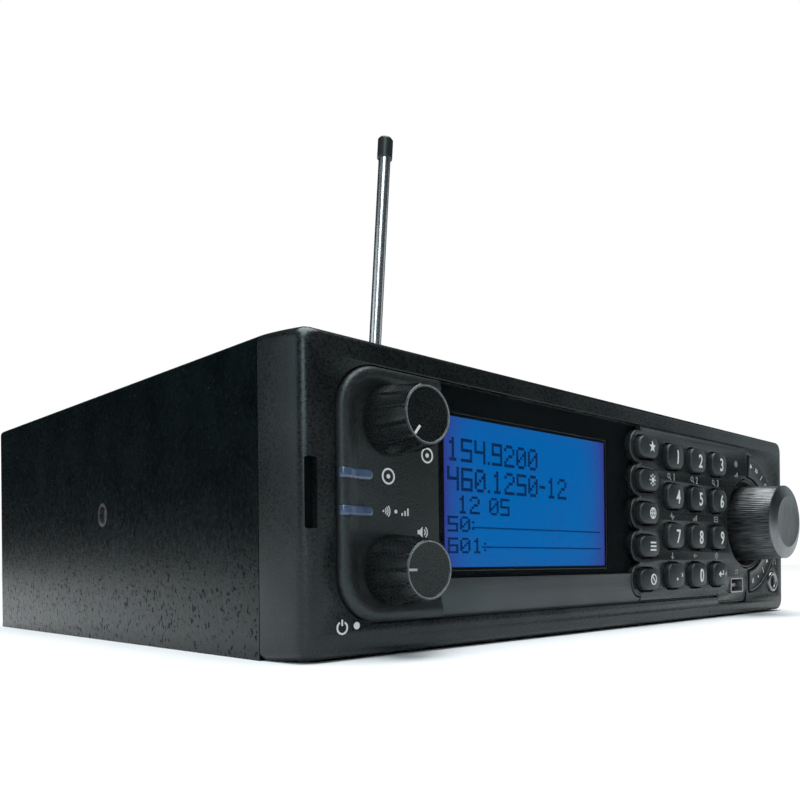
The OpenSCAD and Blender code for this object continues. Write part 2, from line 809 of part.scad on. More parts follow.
module tuner_shield() {
    color([0.66, 0.67, 0.69]) difference() {
        block(20, 72, 78, 124, main_z + board_t + 0.05, main_z + 18);
        block(20.8, 71.2, 78.8, 123.2, main_z, main_z + 17.2);
        for (i = [0:5], j = [0:4]) post(27 + i * 7.6, 86 + j * 7.6, main_z + 16, main_z + 20, 1.5);
    }
}

module speaker() {
    color([0.16, 0.16, 0.17]) difference() {
        union() {
            translate([speaker_x, front_y + speaker_y, speaker_z])
                linear_extrude(height = 1.25) rounded(64, 64, 4);
            translate([speaker_x, front_y + speaker_y, speaker_z - 12])
                cylinder(h = 12.1, r1 = 14, r2 = speaker_r, $fn = fine);
            post(speaker_x, speaker_y, speaker_z - 21, speaker_z - 11.5, 17);
        }
        translate([speaker_x, front_y + speaker_y, speaker_z - 10.8])
            cylinder(h = 12.1, r1 = 10, r2 = speaker_r - 1, $fn = fine);
        for (x = [-1, 1], y = [-1, 1])
            post(speaker_x + x * speaker_hole, speaker_y + y * speaker_hole,
                 speaker_z - 1, speaker_z + 2, screw_r + 0.1);
    }
}

// ---- rear sockets ----

module remote_port() {
    back = panel_y + panel_t;
    color([0.66, 0.67, 0.69]) difference() {
        union() {
            from_front(back + 0.02, back + 1) translate([port_x, port_z]) rounded(30.8, 12.5, 1.5);
            from_front(panel_y - 6, back + 0.1) port_2d(0.2);
            from_front(back, back + 6.6) port_2d(0);
            for (s = [-1, 1]) translate([port_x + s * 12.5, front_y + back + 6, port_z]) rotate([90, 0, 0])
                cylinder(h = 5.5, r = 2.7, $fn = 6);
        }
        from_front(back + 1, back + 7) port_2d(-0.5);
        for (s = [-1, 1]) bar_y(port_x + s * 12.5, port_z, back - 1, back + 7, 1.25);
    }
    color([0.8, 0.65, 0.3]) for (i = [0:4]) {
        bar_y(port_x + (i - 2) * 2.77, port_z + 1.42, back, back + 5.6, 0.5);
        if (i < 4) bar_y(port_x + (i - 1.5) * 2.77, port_z - 1.42, back, back + 5.6, 0.5);
    }
}

module power_jack() {
    back = panel_y + panel_t;
    color([0.06, 0.06, 0.07]) difference() {
        union() {
            bar_y(power_x, power_z, back - 4, back + 1.2, 5.4);
            block(power_x - 5.5, power_x + 5.5, back - 13, back - panel_t - 0.1,
                  power_z - 6, power_z + 5.5);
        }
        bar_y(power_x, power_z, back - 9.5, back + 2, 2.8);
    }
    color([0.8, 0.8, 0.8]) bar_y(power_x, power_z, back - 10, back, 1.05);
}

module rear_jacks() {
    back = panel_y + panel_t;
    color([0.06, 0.06, 0.07]) for (x = jack_x) difference() {
        union() {
            bar_y(x, jack_z, back - 4, back + 1, 4);
            block(x - 4.5, x + 4.5, back - 14, back - panel_t - 0.1,
                  jack_z - 5, jack_z + 4.5);
        }
        bar_y(x, jack_z, back - 12, back + 2, plug_r);
    }
}

module antenna_socket() {
    back = panel_y + panel_t;
    color([0.72, 0.72, 0.74]) difference() {
        union() {
            bar_y(antenna_x, antenna_z, panel_y - 6, jack_end, 4.8);
            translate([antenna_x, front_y + panel_y - 0.1, antenna_z]) rotate([90, 0, 0])
                cylinder(h = 2, r = 7, $fn = 6);
            bar_y(antenna_x, antenna_z, back + 0.05, back + 1.2, 6.8);
            for (s = [-1, 1]) translate([antenna_x, front_y + jack_end - 3.5, antenna_z])
                rotate([0, 90 * s, 0]) cylinder(h = 5.5, r = 0.95, $fn = 24);
        }
        bar_y(antenna_x, antenna_z, back + 0.5, jack_end + 1, 4.1);
    }
    color([0.85, 0.7, 0.35]) difference() {
        bar_y(antenna_x, antenna_z, back + 0.4, jack_end - 1.5, 1.2);
        bar_y(antenna_x, antenna_z, back + 1.5, jack_end, 0.65);
    }
}

// ---- antenna ----

// Leaning frame about the socket's axis; children are drawn upright with the axis at z = 0
module leaning() {
    translate([antenna_x, 0, antenna_z]) rotate([0, antenna_lean, 0]) children();
}

module antenna_collar() {
    color([0.78, 0.78, 0.80]) leaning() difference() {
        union() {
            bar_y(0, 0, case_d + 2.6, case_d + 12.5, collar_r);
            round_y(0, 0, case_d + 12.5, case_d + 14, 5.4, collar_r);
            for (i = [0:17]) rotate([0, i * 20, 0]) bar_y(collar_r - 0.2, 0, case_d + 6, case_d + 12, 0.55);
        }
        bar_y(0, 0, case_d, case_d + 11.2, 5.65);
        bar_y(0, 0, case_d, case_d + 15, 4.3 + fit);
    }
}

module antenna_plug() {
    hinge_y = whip_y - 4.4;
    color([0.70, 0.70, 0.72]) leaning() difference() {
        union() {
            bar_y(0, 0, case_d + 10.4, case_d + 15, 4.3);
            bar_y(0, 0, case_d + 1.5, case_d + 11, 4);
            bar_y(0, 0, case_d + 14.4, hinge_y, 5.3);
            for (s = [-1, 1]) {
                x0 = s * (tongue_t / 2 + 0.1 + 0.8);
                hull() for (y = [hinge_y + 2.4, whip_y]) translate([x0, front_y + y, 0])
                    rotate([0, 90, 0]) cylinder(h = 1.6, r = 4, center = true, $fn = 32);
            }
            translate([0, front_y + whip_y, 0]) rotate([0, 90, 0])
                cylinder(h = tongue_t + 3.4, r = hinge_pin_r, center = true, $fn = 32);
        }
        bar_y(0, 0, case_d + 1, case_d + 10.4, 3.3);
    }
    color([0.85, 0.7, 0.35]) leaning() bar_y(0, 0, case_d + 4, case_d + 10.5, 0.5);
}

module antenna_hinge() {
    color([0.70, 0.70, 0.72]) leaning() translate([0, front_y + whip_y, 0]) difference() {
        union() {
            rotate([0, 90, 0]) cylinder(h = tongue_t, r = 3.6, center = true, $fn = 48);
            translate([-tongue_t / 2, -2.4, 0]) cube([tongue_t, 4.8, socket_low]);
            translate([0, 0, socket_low - 1]) cylinder(h = 1.5, r1 = 2.6, r2 = 3.2, $fn = 48);
            translate([0, 0, socket_low + 0.49])
                cylinder(h = socket_high - socket_low - 0.49, r = 3.2, $fn = 48);
        }
        rotate([0, 90, 0]) cylinder(h = 8, r = hinge_pin_r + fit, center = true, $fn = 48);
        translate([0, 0, socket_low + 2]) cylinder(h = 20, r = tube_r + 0.02, $fn = 48);
    }
}

// A hollow tube of the antenna between two heights above the hinge
module tube(z0, z1, r, t) {
    leaning() translate([0, front_y + whip_y, z0]) difference() {
        cylinder(h = z1 - z0, r = r, $fn = 48);
        translate([0, 0, -1]) cylinder(h = z1 - z0 + 2, r = r - t, $fn = 48);
    }
}

module antenna_tube() color([0.85, 0.85, 0.87]) tube(socket_low + 2.1, tube_top, tube_r, tube_wall);
module antenna_middle() color([0.85, 0.85, 0.87]) tube(24, tube_top - 0.05, middle_r, tube_wall);

module antenna_rod() {
    color([0.85, 0.85, 0.87]) leaning() translate([0, front_y + whip_y, 30])
        cylinder(h = antenna_l - 4 - 30, r = rod_r, $fn = 48);
}

module antenna_tip() {
    color([0.06, 0.06, 0.06]) leaning() translate([0, front_y + whip_y, tube_top + 0.1]) difference() {
        union() {
            cylinder(h = tip_l - 0.8, r = tip_r, $fn = 48);
            translate([0, 0, tip_l - 0.81]) cylinder(h = 0.81, r1 = tip_r, r2 = tip_r - 0.6, $fn = 48);
        }
        translate([0, 0, -1]) cylinder(h = antenna_l - 4 - tube_top + 0.95, r = rod_r + 0.02, $fn = 48);
    }
}

// ---- assembly ----

top_cover();
bottom_cover();
rear_panel();
front_bezel();
knob_panel();
display_lens();
trim_strip();
keypad_panel();
light_bars();
lcd_glass();
lcd_frame();
front_board();
key_mat();
volume_pot();
squelch_pot();
scroll_encoder();
usb_port();
headphone_jack();
main_board();
tuner_shield();
speaker();
antenna_socket();
remote_port();
power_jack();
rear_jacks();
case_screws();
bracket_nuts();
volume_knob();
volume_shaft();
squelch_knob();
squelch_shaft();
encoder_rotor();
scroll_shaft();
scroll_dial();
digit_key(0, 3);  // key_1
digit_key(1, 3);  // key_2
digit_key(2, 3);  // key_3
digit_key(0, 2);  // key_4
digit_key(1, 2);  // key_5
digit_key(2, 2);  // key_6
digit_key(0, 1);  // key_7
digit_key(1, 1);  // key_8
digit_key(2, 1);  // key_9
digit_key(0, 0);  // key_point
digit_key(1, 0);  // key_0
digit_key(2, 0);  // key_enter
function_key(4);  // priority_key
function_key(3);  // weather_key
function_key(2);  // location_key
function_key(1);  // menu_key
function_key(0);  // lockout_key
crescent_key(crescent_angles[0][0], crescent_angles[0][1]);  // scan_key
crescent_key(crescent_angles[1][0], crescent_angles[1][1]);  // hold_key
antenna_collar();
antenna_plug();
antenna_hinge();
antenna_tube();
antenna_middle();
antenna_rod();
antenna_tip();
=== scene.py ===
"""Desktop radio scanner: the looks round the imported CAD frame."""
import json
import math

import bmesh
import bpy
from mathutils import Matrix, Vector
from mathutils.geometry import tessellate_polygon


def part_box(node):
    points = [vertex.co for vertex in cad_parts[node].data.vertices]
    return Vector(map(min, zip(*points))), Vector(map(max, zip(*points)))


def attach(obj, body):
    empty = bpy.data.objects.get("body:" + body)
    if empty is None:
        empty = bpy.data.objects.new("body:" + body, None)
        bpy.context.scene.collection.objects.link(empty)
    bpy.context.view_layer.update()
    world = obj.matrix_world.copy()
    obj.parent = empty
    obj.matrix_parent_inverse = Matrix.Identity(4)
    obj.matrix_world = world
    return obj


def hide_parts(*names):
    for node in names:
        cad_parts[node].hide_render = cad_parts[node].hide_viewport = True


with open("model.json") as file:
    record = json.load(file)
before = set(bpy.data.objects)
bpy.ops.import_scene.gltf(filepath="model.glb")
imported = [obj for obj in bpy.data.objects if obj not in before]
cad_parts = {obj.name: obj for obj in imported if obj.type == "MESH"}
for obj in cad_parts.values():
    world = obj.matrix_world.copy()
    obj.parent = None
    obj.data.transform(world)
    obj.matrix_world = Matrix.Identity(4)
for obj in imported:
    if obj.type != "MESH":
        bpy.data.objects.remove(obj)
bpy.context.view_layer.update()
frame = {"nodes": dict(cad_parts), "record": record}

MM = 0.001

# ---- camera ----

SENSOR = 36.0
FOCAL = 803.0 / 800.0      # focal length over the picture's width
SHIFT = (-0.125, 0.2053)   # how far the picture's middle lies off the camera's axis
EYE = Vector((-163.48, -180.5, 15.45)) * MM
YAW, PITCH, ROLL = (math.radians(a) for a in (47.58, 0.094, -0.621))


def make_camera():
    """A low view from the front left, at the photograph's angle."""
    data = bpy.data.cameras.new("camera")
    data.sensor_width = SENSOR
    data.lens = FOCAL * SENSOR
    data.shift_x, data.shift_y = SHIFT
    data.clip_start = 0.01
    data.clip_end = 50.0
    forward = Vector((math.sin(YAW) * math.cos(PITCH), math.cos(YAW) * math.cos(PITCH), math.sin(PITCH)))
    right = Vector((math.cos(YAW), -math.sin(YAW), 0.0))
    up = right.cross(forward)
    rolled_right = right * math.cos(ROLL) + up * math.sin(ROLL)
    rolled_up = up * math.cos(ROLL) - right * math.sin(ROLL)
    turn = Matrix((rolled_right, rolled_up, -forward)).transposed().to_4x4()
    camera = bpy.data.objects.new("camera", data)
    camera.matrix_world = Matrix.Translation(EYE) @ turn
    bpy.context.scene.collection.objects.link(camera)
    bpy.context.scene.camera = camera


make_camera()

# ---- places, all read from the frame ----
# Panel coordinates are millimetres: x to the right, y up, z outward from the bezel's face.

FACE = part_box("front_bezel")[0].y
PANEL = (Matrix.Translation((0.0, FACE, 0.0)) @ Matrix.Rotation(math.pi / 2, 4, "X")
         @ Matrix.Diagonal((MM, MM, MM, 1.0)))


def area(node):
    """(x0, x1, y0, y1) of a CAD node seen from the front, in panel coordinates."""
    low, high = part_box(node)
    return low.x / MM, high.x / MM, low.z / MM, high.z / MM


def middle(node):
    x0, x1, y0, y1 = area(node)
    return Vector(((x0 + x1) / 2, (y0 + y1) / 2))


DIGITS = ["key_1", "key_2", "key_3", "key_4", "key_5", "key_6", "key_7", "key_8", "key_9",
          "key_point", "key_0", "key_enter"]
FUNCTIONS = ["lockout_key", "menu_key", "location_key", "weather_key", "priority_key"]
FLANGE = 0.7               # hidden flange round a key
KEY_TOP = 2.6              # middle of a key, outward from the bezel's face
KEY_CORNER = 2.4
KEY_CROWN = 0.95
KEY_ROUND = 0.55           # softness of a key's edge

BAR_HALF = 0.85            # half the height of a light bar
LEFT, ISLAND_RIGHT, LOW, HIGH = area("knob_panel")
LENS_LEFT, _, LENS_LOW, _ = area("display_lens")
_, SEAM, TAB_LOW, _ = area("keypad_panel")
BEZEL_X0, BEZEL_X1, _, BEZEL_Y1 = area("front_bezel")
BEZEL_DEPTH = (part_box("top_cover")[0].y - FACE) / MM - 0.2
TAB_LEFT = 46.6            # left end of the tab under the serial socket
ISLAND = 0.6               # the island's face, outward from the bezel's face
ISLAND_CORNER = 8.0
POCKET = 1.2               # depth of the pocket that the panels lie in
WALL = 3.0                 # thickness of the bezel's front
GAP = 0.28                 # dark groove round the island
SEAM_GAP = 0.2             # gap between neighbouring panels
KEY_SLACK = 0.35

SCALLOP_R = 4.15
SCALLOP_X = middle(FUNCTIONS[0]).x - 2.65
SCALLOP_LINE = SCALLOP_X + 0.6
SCALLOP_Y = [middle(node).y for node in FUNCTIONS]

DIAL = middle("scroll_dial")
BOWL_R = 13.1
CRESCENT_IN, CRESCENT_OUT = 14.2, 20.5
CRESCENT_ANGLES = {"scan_key": (3, 86), "hold_key": (-86, -3)}
PHONE = middle("headphone_jack")
USB = middle("usb_port")

# ---- materials ----

COOL = (0.8, 0.98, 1.0, 1.0)
GREY = (0.9, 1.0, 1.03)    # the slightly cold tint that all the dark mouldings share


def tone(value):
    return tuple(value * c for c in GREY)


class Paint:
    """A procedural material: its shader and short calls that add the nodes behind it."""

    def __init__(self, name, **sockets):
        self.material = bpy.data.materials.new(name)
        self.material.use_nodes = True
        self.tree = self.material.node_tree
        self.shader = self.tree.nodes["Principled BSDF"]
        self.place = self.tree.nodes.new("ShaderNodeTexCoord").outputs["Object"]
        for socket, value in sockets.items():
            self.shader.inputs[socket.replace("_", " ")].default_value = value

    def node(self, kind, links=(), **values):
        made = self.tree.nodes.new("ShaderNode" + kind)
        for key, value in values.items():
            if key.startswith("in_"):
                made.inputs[int(key[3:])].default_value = value
            else:
                setattr(made, key, value)
        for socket, source in links:
            self.tree.links.new(source, made.inputs[socket])
        return made

    def stretched(self, scale):
        return self.node("Mapping", [(0, self.place)], in_3=scale).outputs[0]

    def noise(self, size, detail=3.0, stretch=None):
        """Noise from 0 to 1 whose lumps are about size metres across."""
        place = self.stretched(stretch) if stretch else self.place
        made = self.node("TexNoise", [("Vector", place)])
        made.inputs["Scale"].default_value = 1 / size
        made.inputs["Detail"].default_value = detail
        return made.outputs["Fac"]

    def cells(self, size, feature="F1"):
        """Distance from the middle, or the edge, of cells about size metres across."""
        made = self.node("TexVoronoi", [("Vector", self.place)], feature=feature)
        made.inputs["Scale"].default_value = 1 / size
        return made.outputs["Distance"]

    def between(self, factor, start, end, low, high):
        """Maps factor from start..end to low..high."""
        made = self.node("MapRange", [(0, factor)], in_1=start, in_2=end, in_3=low, in_4=high)
        return made.outputs[0]

    def blend(self, factor, low, high):
        """Colour low where factor is 0 and high where it is 1."""
        made = self.node("ValToRGB", [(0, factor)])
        made.color_ramp.elements[0].color = (*low, 1.0)
        made.color_ramp.elements[1].color = (*high, 1.0)
        return made.outputs[0]

    def maths(self, operation, first, second):
        """Sum, product or the like of first and second, which is a number or an output."""
        if isinstance(second, (int, float)):
            return self.node("Math", [(0, first)], operation=operation, in_1=second).outputs[0]
        return self.node("Math", [(0, first), (1, second)], operation=operation).outputs[0]

    def axis(self, index):
        return self.node("SeparateXYZ", [(0, self.place)]).outputs[index]

    def feed(self, socket, output):
        self.tree.links.new(output, self.shader.inputs[socket])

    def bump(self, height, depth):
        """Raises the surface by up to depth metres where height is 1."""
        links = [("Height", height)]
        if self.shader.inputs["Normal"].is_linked:
            links.append(("Normal", self.shader.inputs["Normal"].links[0].from_socket))
        made = self.node("Bump", links)
        made.inputs["Distance"].default_value = depth
        self.feed("Normal", made.outputs["Normal"])


def moulded(name, dark, light, smooth, rough, grain, depth, **sockets):
    """Textured plastic: fine grain, slow drift of colour, and shine that varies with both."""
    paint = Paint(name, **{"Specular_IOR_Level": 0.4, "Specular_Tint": COOL, **sockets})
    drift = paint.noise(14 * MM, 2.0)
    fine = paint.noise(grain * MM, 4.0)
    shade = paint.between(paint.maths("MULTIPLY", fine, drift), 0.12, 0.4, 0.0, 1.0)
    paint.feed("Base Color", paint.blend(shade, tone(dark), tone(light)))
    paint.feed("Roughness", paint.between(fine, 0.3, 0.7, smooth, rough))
    paint.bump(fine, depth * MM)
    return paint.material


def turned(name, dark, light, smooth, rough, streak, depth, stretch):
    """Bare or plated metal with fine streaks along one direction."""
    paint = Paint(name, Metallic=1.0)
    lines = paint.noise(streak * MM, 5.0, stretch)
    smudge = paint.noise(6 * MM, 3.0)
    paint.feed("Base Color", paint.blend(paint.between(lines, 0.3, 0.7, 0.0, 1.0), dark, light))
    worn = paint.maths("MULTIPLY", lines, smudge)
    paint.feed("Roughness", paint.between(worn, 0.1, 0.4, smooth, rough))
    paint.bump(lines, depth * MM)
    return paint.material


def cover_paint():
    """Black grainy paint with many small pits, a few upright runs and bright flecks."""
    paint = Paint("cover_paint", Specular_Tint=COOL)
    grit = paint.noise(0.5 * MM, 4.0)
    wrinkle = paint.noise(0.9 * MM, 3.0, (1.0, 1.0, 0.7))
    fine = paint.between(paint.noise(0.7 * MM, 2.0, (1.0, 1.0, 0.75)), 0.34, 0.42, 0.0, 1.0)
    run = paint.between(paint.noise(2.0 * MM, 3.0, (1.0, 1.0, 0.45)), 0.25, 0.3, 0.0, 1.0)
    clean = paint.maths("MULTIPLY", fine, run)
    flecks = paint.between(paint.noise(0.7 * MM, 0.0), 0.83, 0.86, 0.0, 1.0)
    patches = paint.between(paint.noise(9 * MM, 3.0), 0.3, 0.7, 0.0, 0.5)
    lighter = paint.maths("ADD", patches, flecks)
    body = paint.blend(lighter, (0.0006, 0.0022, 0.0026), (0.005, 0.009, 0.01))
    paint.feed("Base Color", body)
    paint.feed("Specular IOR Level", paint.between(clean, 0.0, 1.0, 0.03, 0.25))
    worn = paint.maths("MULTIPLY", wrinkle, clean)
    paint.feed("Roughness", paint.between(worn, 0.1, 0.65, 0.34, 0.17))
    paint.bump(wrinkle, 0.008 * MM)
    paint.bump(grit, 0.012 * MM)
    paint.bump(flecks, 0.05 * MM)
    return paint.material


def lit_display():
    """Blue backlit cell: even in the middle, violet towards the short sides and corners."""
    x0, x1, y0, y1 = (v * MM for v in area("lcd_glass"))
    border = 6 * MM
    paint = Paint("lcd_blue", Specular_IOR_Level=0.05)

    def offset(index, low, high):
        """0 in the middle of the display and 1 at its edge."""
        from_middle = paint.maths("SUBTRACT", paint.axis(index), (low + high) / 2)
        scaled = paint.maths("MULTIPLY", from_middle, 2 / (high - low - border))
        return paint.maths("ABSOLUTE", scaled, 0.0)

    edge_x = paint.maths("POWER", offset(0, x0, x1), 7.0)
    edge_y = paint.maths("POWER", offset(2, y0, y1), 6.0)
    corner = paint.maths("ADD", paint.maths("MULTIPLY", edge_y, 0.15), edge_x)
    cloudy = paint.maths("ADD", corner, paint.between(paint.noise(9 * MM, 2.0), 0.3, 0.7, -0.06, 0.06))
    glow = paint.blend(cloudy, (0.0, 0.112, 0.38), (0.03, 0.04, 0.24))
    paint.feed("Base Color", paint.blend(cloudy, (0.0, 0.008, 0.03), (0.002, 0.003, 0.02)))
    paint.feed("Emission Color", glow)
    paint.shader.inputs["Emission Strength"].default_value = 1.0
    paint.feed("Roughness", paint.between(paint.noise(0.3 * MM), 0.3, 0.7, 0.25, 0.35))
    return paint.material


def clear_lens():
    """Clear coated acrylic with the faintest dust."""
    paint = Paint("lens_clear", Specular_IOR_Level=0.2)
    dust = paint.noise(0.5 * MM, 6.0)
    speck = paint.between(dust, 0.64, 0.72, 0.0, 1.0)
    paint.feed("Base Color", paint.blend(speck, (0.004, 0.004, 0.005), (0.1, 0.11, 0.12)))
    paint.feed("Roughness", paint.between(dust, 0.4, 0.75, 0.08, 0.2))
    paint.feed("Alpha", paint.between(speck, 0.0, 1.0, 0.02, 0.08))
    return paint.material


def light_pipe():
    """Dull blue translucent plastic that glows a little."""
    paint = Paint("light_pipe", Coat_Weight=0.5, Coat_Roughness=0.2, Emission_Strength=0.25)
    cloud = paint.noise(2.5 * MM, 2.0)
    lighter = paint.between(cloud, 0.3, 0.7, 0.0, 1.0)
    body = paint.blend(lighter, (0.02, 0.038, 0.075), (0.032, 0.054, 0.1))
    paint.feed("Base Color", body)
    paint.feed("Emission Color", body)
    paint.feed("Roughness", paint.between(cloud, 0.3, 0.7, 0.22, 0.4))
    return paint.material


def circuit_board():
    """Green solder mask with lighter tracks and rows of bare pads."""
    paint = Paint("circuit_board", Coat_Weight=0.5)
    tracks = paint.cells(3.1 * MM, "DISTANCE_TO_EDGE")
    pads = paint.cells(2.3 * MM)
    mask = paint.between(tracks, 0.03, 0.06, 1.0, 0.0)
    paint.feed("Base Color", paint.blend(mask, (0.005, 0.045, 0.02), (0.012, 0.11, 0.05)))
    paint.feed("Metallic", paint.between(pads, 0.09, 0.1, 0.6, 0.0))
    paint.feed("Roughness", paint.between(paint.noise(1 * MM), 0.3, 0.7, 0.3, 0.5))
    paint.bump(mask, 0.03 * MM)
    return paint.material


def ink(name, colour, rough=0.55, glow=0.0, shine=0.3):
    """Printed legend: slightly uneven ink. Glow is emission added to the ink; on legends and pointers it is
    painted brightness, as print gives off no light.
    """
    paint = Paint(name, Emission_Strength=glow, Specular_IOR_Level=shine)
    patchy = paint.noise(0.35 * MM, 4.0)
    body = paint.blend(patchy, tuple(0.75 * c for c in colour), tuple(min(1.0, 1.2 * c) for c in colour))
    paint.feed("Base Color", body)
    paint.feed("Emission Color", body)
    paint.feed("Roughness", paint.between(patchy, 0.3, 0.7, rough - 0.1, rough + 0.1))
    return paint.material


# Darkest and lightest grey, least and most roughness, then the grain's size and depth in millimetres
MOULDINGS = {
    "rear_paint": (0.008, 0.02, 0.35, 0.55, 0.5, 0.03),
    "bezel_plastic": (0.003, 0.016, 0.24, 0.36, 0.42, 0.02),
    "panel_plastic": (0.006, 0.024, 0.34, 0.5, 0.42, 0.07),
    "strip_plastic": (0.028, 0.045, 0.34, 0.45, 0.2, 0.008),
    "mat_rubber": (0.03, 0.06, 0.6, 0.75, 0.4, 0.02),
    "jack_plastic": (0.008, 0.016, 0.4, 0.55, 0.3, 0.02),
    "speaker_metal": (0.03, 0.06, 0.4, 0.6, 1.5, 0.03),
    "key_rubber": (0.008, 0.026, 0.32, 0.48, 0.4, 0.05),
    "tip_plastic": (0.01, 0.022, 0.3, 0.45, 0.25, 0.015),
    # the knobs' rim ring: light grey plastic as a painted highlight along the face's edge
    "knob_rim_painted_highlight": (0.1, 0.2, 0.22, 0.34, 0.3, 0.01),
}
# Darkest and lightest colour, least and most roughness, then the streaks' size, depth and stretch
METALS = {
    "tin_plate": ((0.4, 0.4, 0.41), (0.62, 0.62, 0.64), 0.3, 0.5, 1.2, 0.004, (1.0, 0.2, 1.0)),
    "control_body": ((0.3, 0.3, 0.31), (0.52, 0.52, 0.53), 0.3, 0.45, 0.8, 0.004, (1.0, 0.3, 1.0)),
    "jack_metal": ((0.16, 0.165, 0.17), (0.34, 0.35, 0.36), 0.22, 0.34, 0.3, 0.003, (1.0, 0.3, 1.0)),
    "screw_steel": ((0.05, 0.05, 0.055), (0.14, 0.14, 0.15), 0.3, 0.45, 0.4, 0.005, (1.0, 1.0, 1.0)),
    "nut_steel": ((0.2, 0.2, 0.21), (0.4, 0.4, 0.42), 0.25, 0.4, 0.4, 0.005, (0.3, 1.0, 1.0)),
    "shaft_metal": ((0.42, 0.42, 0.43), (0.66, 0.66, 0.67), 0.2, 0.35, 0.3, 0.004, (1.0, 8.0, 1.0)),
    "rotor_brass": ((0.5, 0.34, 0.12), (0.76, 0.56, 0.26), 0.2, 0.4, 0.5, 0.004, (1.0, 4.0, 1.0)),
    "dial_metal": ((0.05, 0.055, 0.058), (0.26, 0.275, 0.28), 0.26, 0.42, 0.34, 0.02, (1.0, 0.06, 1.0)),
    "dial_cap": ((0.15, 0.162, 0.165), (0.21, 0.222, 0.225), 0.3, 0.4, 1.5, 0.002, (1.0, 1.0, 0.3)),
    "antenna_chrome": ((0.7, 0.71, 0.72), (0.84, 0.85, 0.86), 0.24, 0.3, 0.5, 0.0002, (1.0, 1.0, 0.1)),
    "antenna_nickel": ((0.42, 0.42, 0.42), (0.62, 0.62, 0.62), 0.2, 0.34, 0.4, 0.004, (1.0, 0.2, 1.0)),
}
PAINTS = {
    "cover_paint": cover_paint(),
    "lens_clear": clear_lens(),
    "lens_print": ink("lens_print", (0.0015, 0.003, 0.0035), 0.6, shine=0.05),
    "light_pipe": light_pipe(),
    "lcd_blue": lit_display(),
    "lcd_segments": ink("lcd_segments", (0.001, 0.014, 0.06), 0.6, 0.45, 0.05),
    "circuit_board": circuit_board(),
    "knob_plastic": moulded("knob_plastic", 0.002, 0.009, 0.2, 0.34, 0.3, 0.015,
                            Coat_Weight=0.15, Coat_Roughness=0.3),
    # legend and faint_legend glow: emission that paints brightness onto printed ink
    "legend": ink("legend", (0.42, 0.44, 0.44), 0.5, 0.32),
    "faint_legend": ink("faint_legend", (0.2, 0.21, 0.215), 0.5, 0.45),
}
PAINTS.update({name: moulded(name, *values) for name, values in MOULDINGS.items()})
PAINTS.update({name: turned(name, *values) for name, values in METALS.items()})


def paint_frame():
    """Every CAD node takes the material of its own slot."""
    for row in frame["record"]["subparts"]:
        slots = frame["nodes"][row["node"]].data.materials
        slots.clear()
        slots.append(PAINTS[row["material_slot"]])


paint_frame()

# ---- mesh helpers ----


def tidy(loop):
    """The loop without points that fall on the one before."""
    return [p for i, p in enumerate(loop) if (p - loop[i - 1]).length > 1e-4]


def arc(centre, radius, start, end, steps=16):
    turn = [math.radians(start + (end - start) * i / steps) for i in range(steps + 1)]
    return [Vector((centre[0] + radius * math.cos(a), centre[1] + radius * math.sin(a))) for a in turn]


def disc(centre, radius, steps=32):
    return arc(centre, radius, 0, 360, steps)[:-1]


def box_loop(x0, x1, y0, y1, radius=0.0, steps=8):
    """Counter-clockwise rectangle with round corners."""
    if radius <= 0:
        return [Vector(p) for p in ((x0, y0), (x1, y0), (x1, y1), (x0, y1))]
    loop = []
    for x, y, start in ((x1 - radius, y0 + radius, -90), (x1 - radius, y1 - radius, 0),
                        (x0 + radius, y1 - radius, 90), (x0 + radius, y0 + radius, 180)):
        loop += arc((x, y), radius, start, start + 90, steps)
    return tidy(loop)


def hole(loop):
    return list(reversed(loop))


def inset(loop, distance):
    """Moves a loop's points towards the solid's side: in for an outline, out for a hole."""
    moved = []
    for i, p in enumerate(loop):
        before = (p - loop[i - 1]).normalized()
        after = (loop[(i + 1) % len(loop)] - p).normalized()
        normal = Vector((-before.y, before.x))
        half = (normal + Vector((-after.y, after.x))).normalized()
        moved.append(p + half * distance / max(0.4, half.dot(normal)))
    return moved


def ring(bm, loop, height):
    return [bm.verts.new((p.x, p.y, height)) for p in loop]


def skin(bm, first, second):
    """Joins two rings with the same number of points."""
    for i in range(len(first)):
        bm.faces.new((first[i - 1], first[i], second[i], second[i - 1])).smooth = True


def lid(bm, rings):
    """Closes a flat outline ring, with hole rings in it."""
    verts = [v for r in rings for v in r]
    for corners in tessellate_polygon([[v.co for v in r] for r in rings]):
        if len(set(corners)) == 3:
            bm.faces.new([verts[i] for i in corners])


def solid(bm, loops, profile):
    """A plate from an outline and holes; profile is (inset, height) pairs from back to front."""
    stacks = [[ring(bm, inset(loop, d), h) for d, h in profile] for loop in loops]
    for stack in stacks:
        for low, high in zip(stack, stack[1:]):
            skin(bm, low, high)
    for end in (0, -1):
        lid(bm, [stack[end] for stack in stacks])


def edge(low, high, radius, steps=3):
    """Profile of a plate whose front edge is rounded."""
    turns = [math.pi / 2 * i / steps for i in range(steps + 1)]
    return [(0.0, low)] + [(radius * (1 - math.cos(a)), high - radius * (1 - math.sin(a))) for a in turns]


def lathe(bm, profile, centre=(0.0, 0.0), steps=64, ripple=None):
    """Turns (radius, height) pairs about an outward axis; ripple changes a radius by angle."""
    rings = []
    for radius, height in profile:
        if radius < 1e-6:
            rings.append([bm.verts.new((centre[0], centre[1], height))])
            continue
        made = []
        for i in range(steps):
            a = 2 * math.pi * i / steps
            r = radius + (ripple(a, height) if ripple else 0.0)
            made.append(bm.verts.new((centre[0] + r * math.cos(a), centre[1] + r * math.sin(a), height)))
        rings.append(made)
    for low, high in zip(rings, rings[1:]):
        if len(low) == 1 or len(high) == 1:
            fan, tip = (high, low[0]) if len(low) == 1 else (low, high[0])
            for i in range(len(fan)):
                bm.faces.new((fan[i - 1], fan[i], tip)).smooth = True
        else:
            skin(bm, low, high)


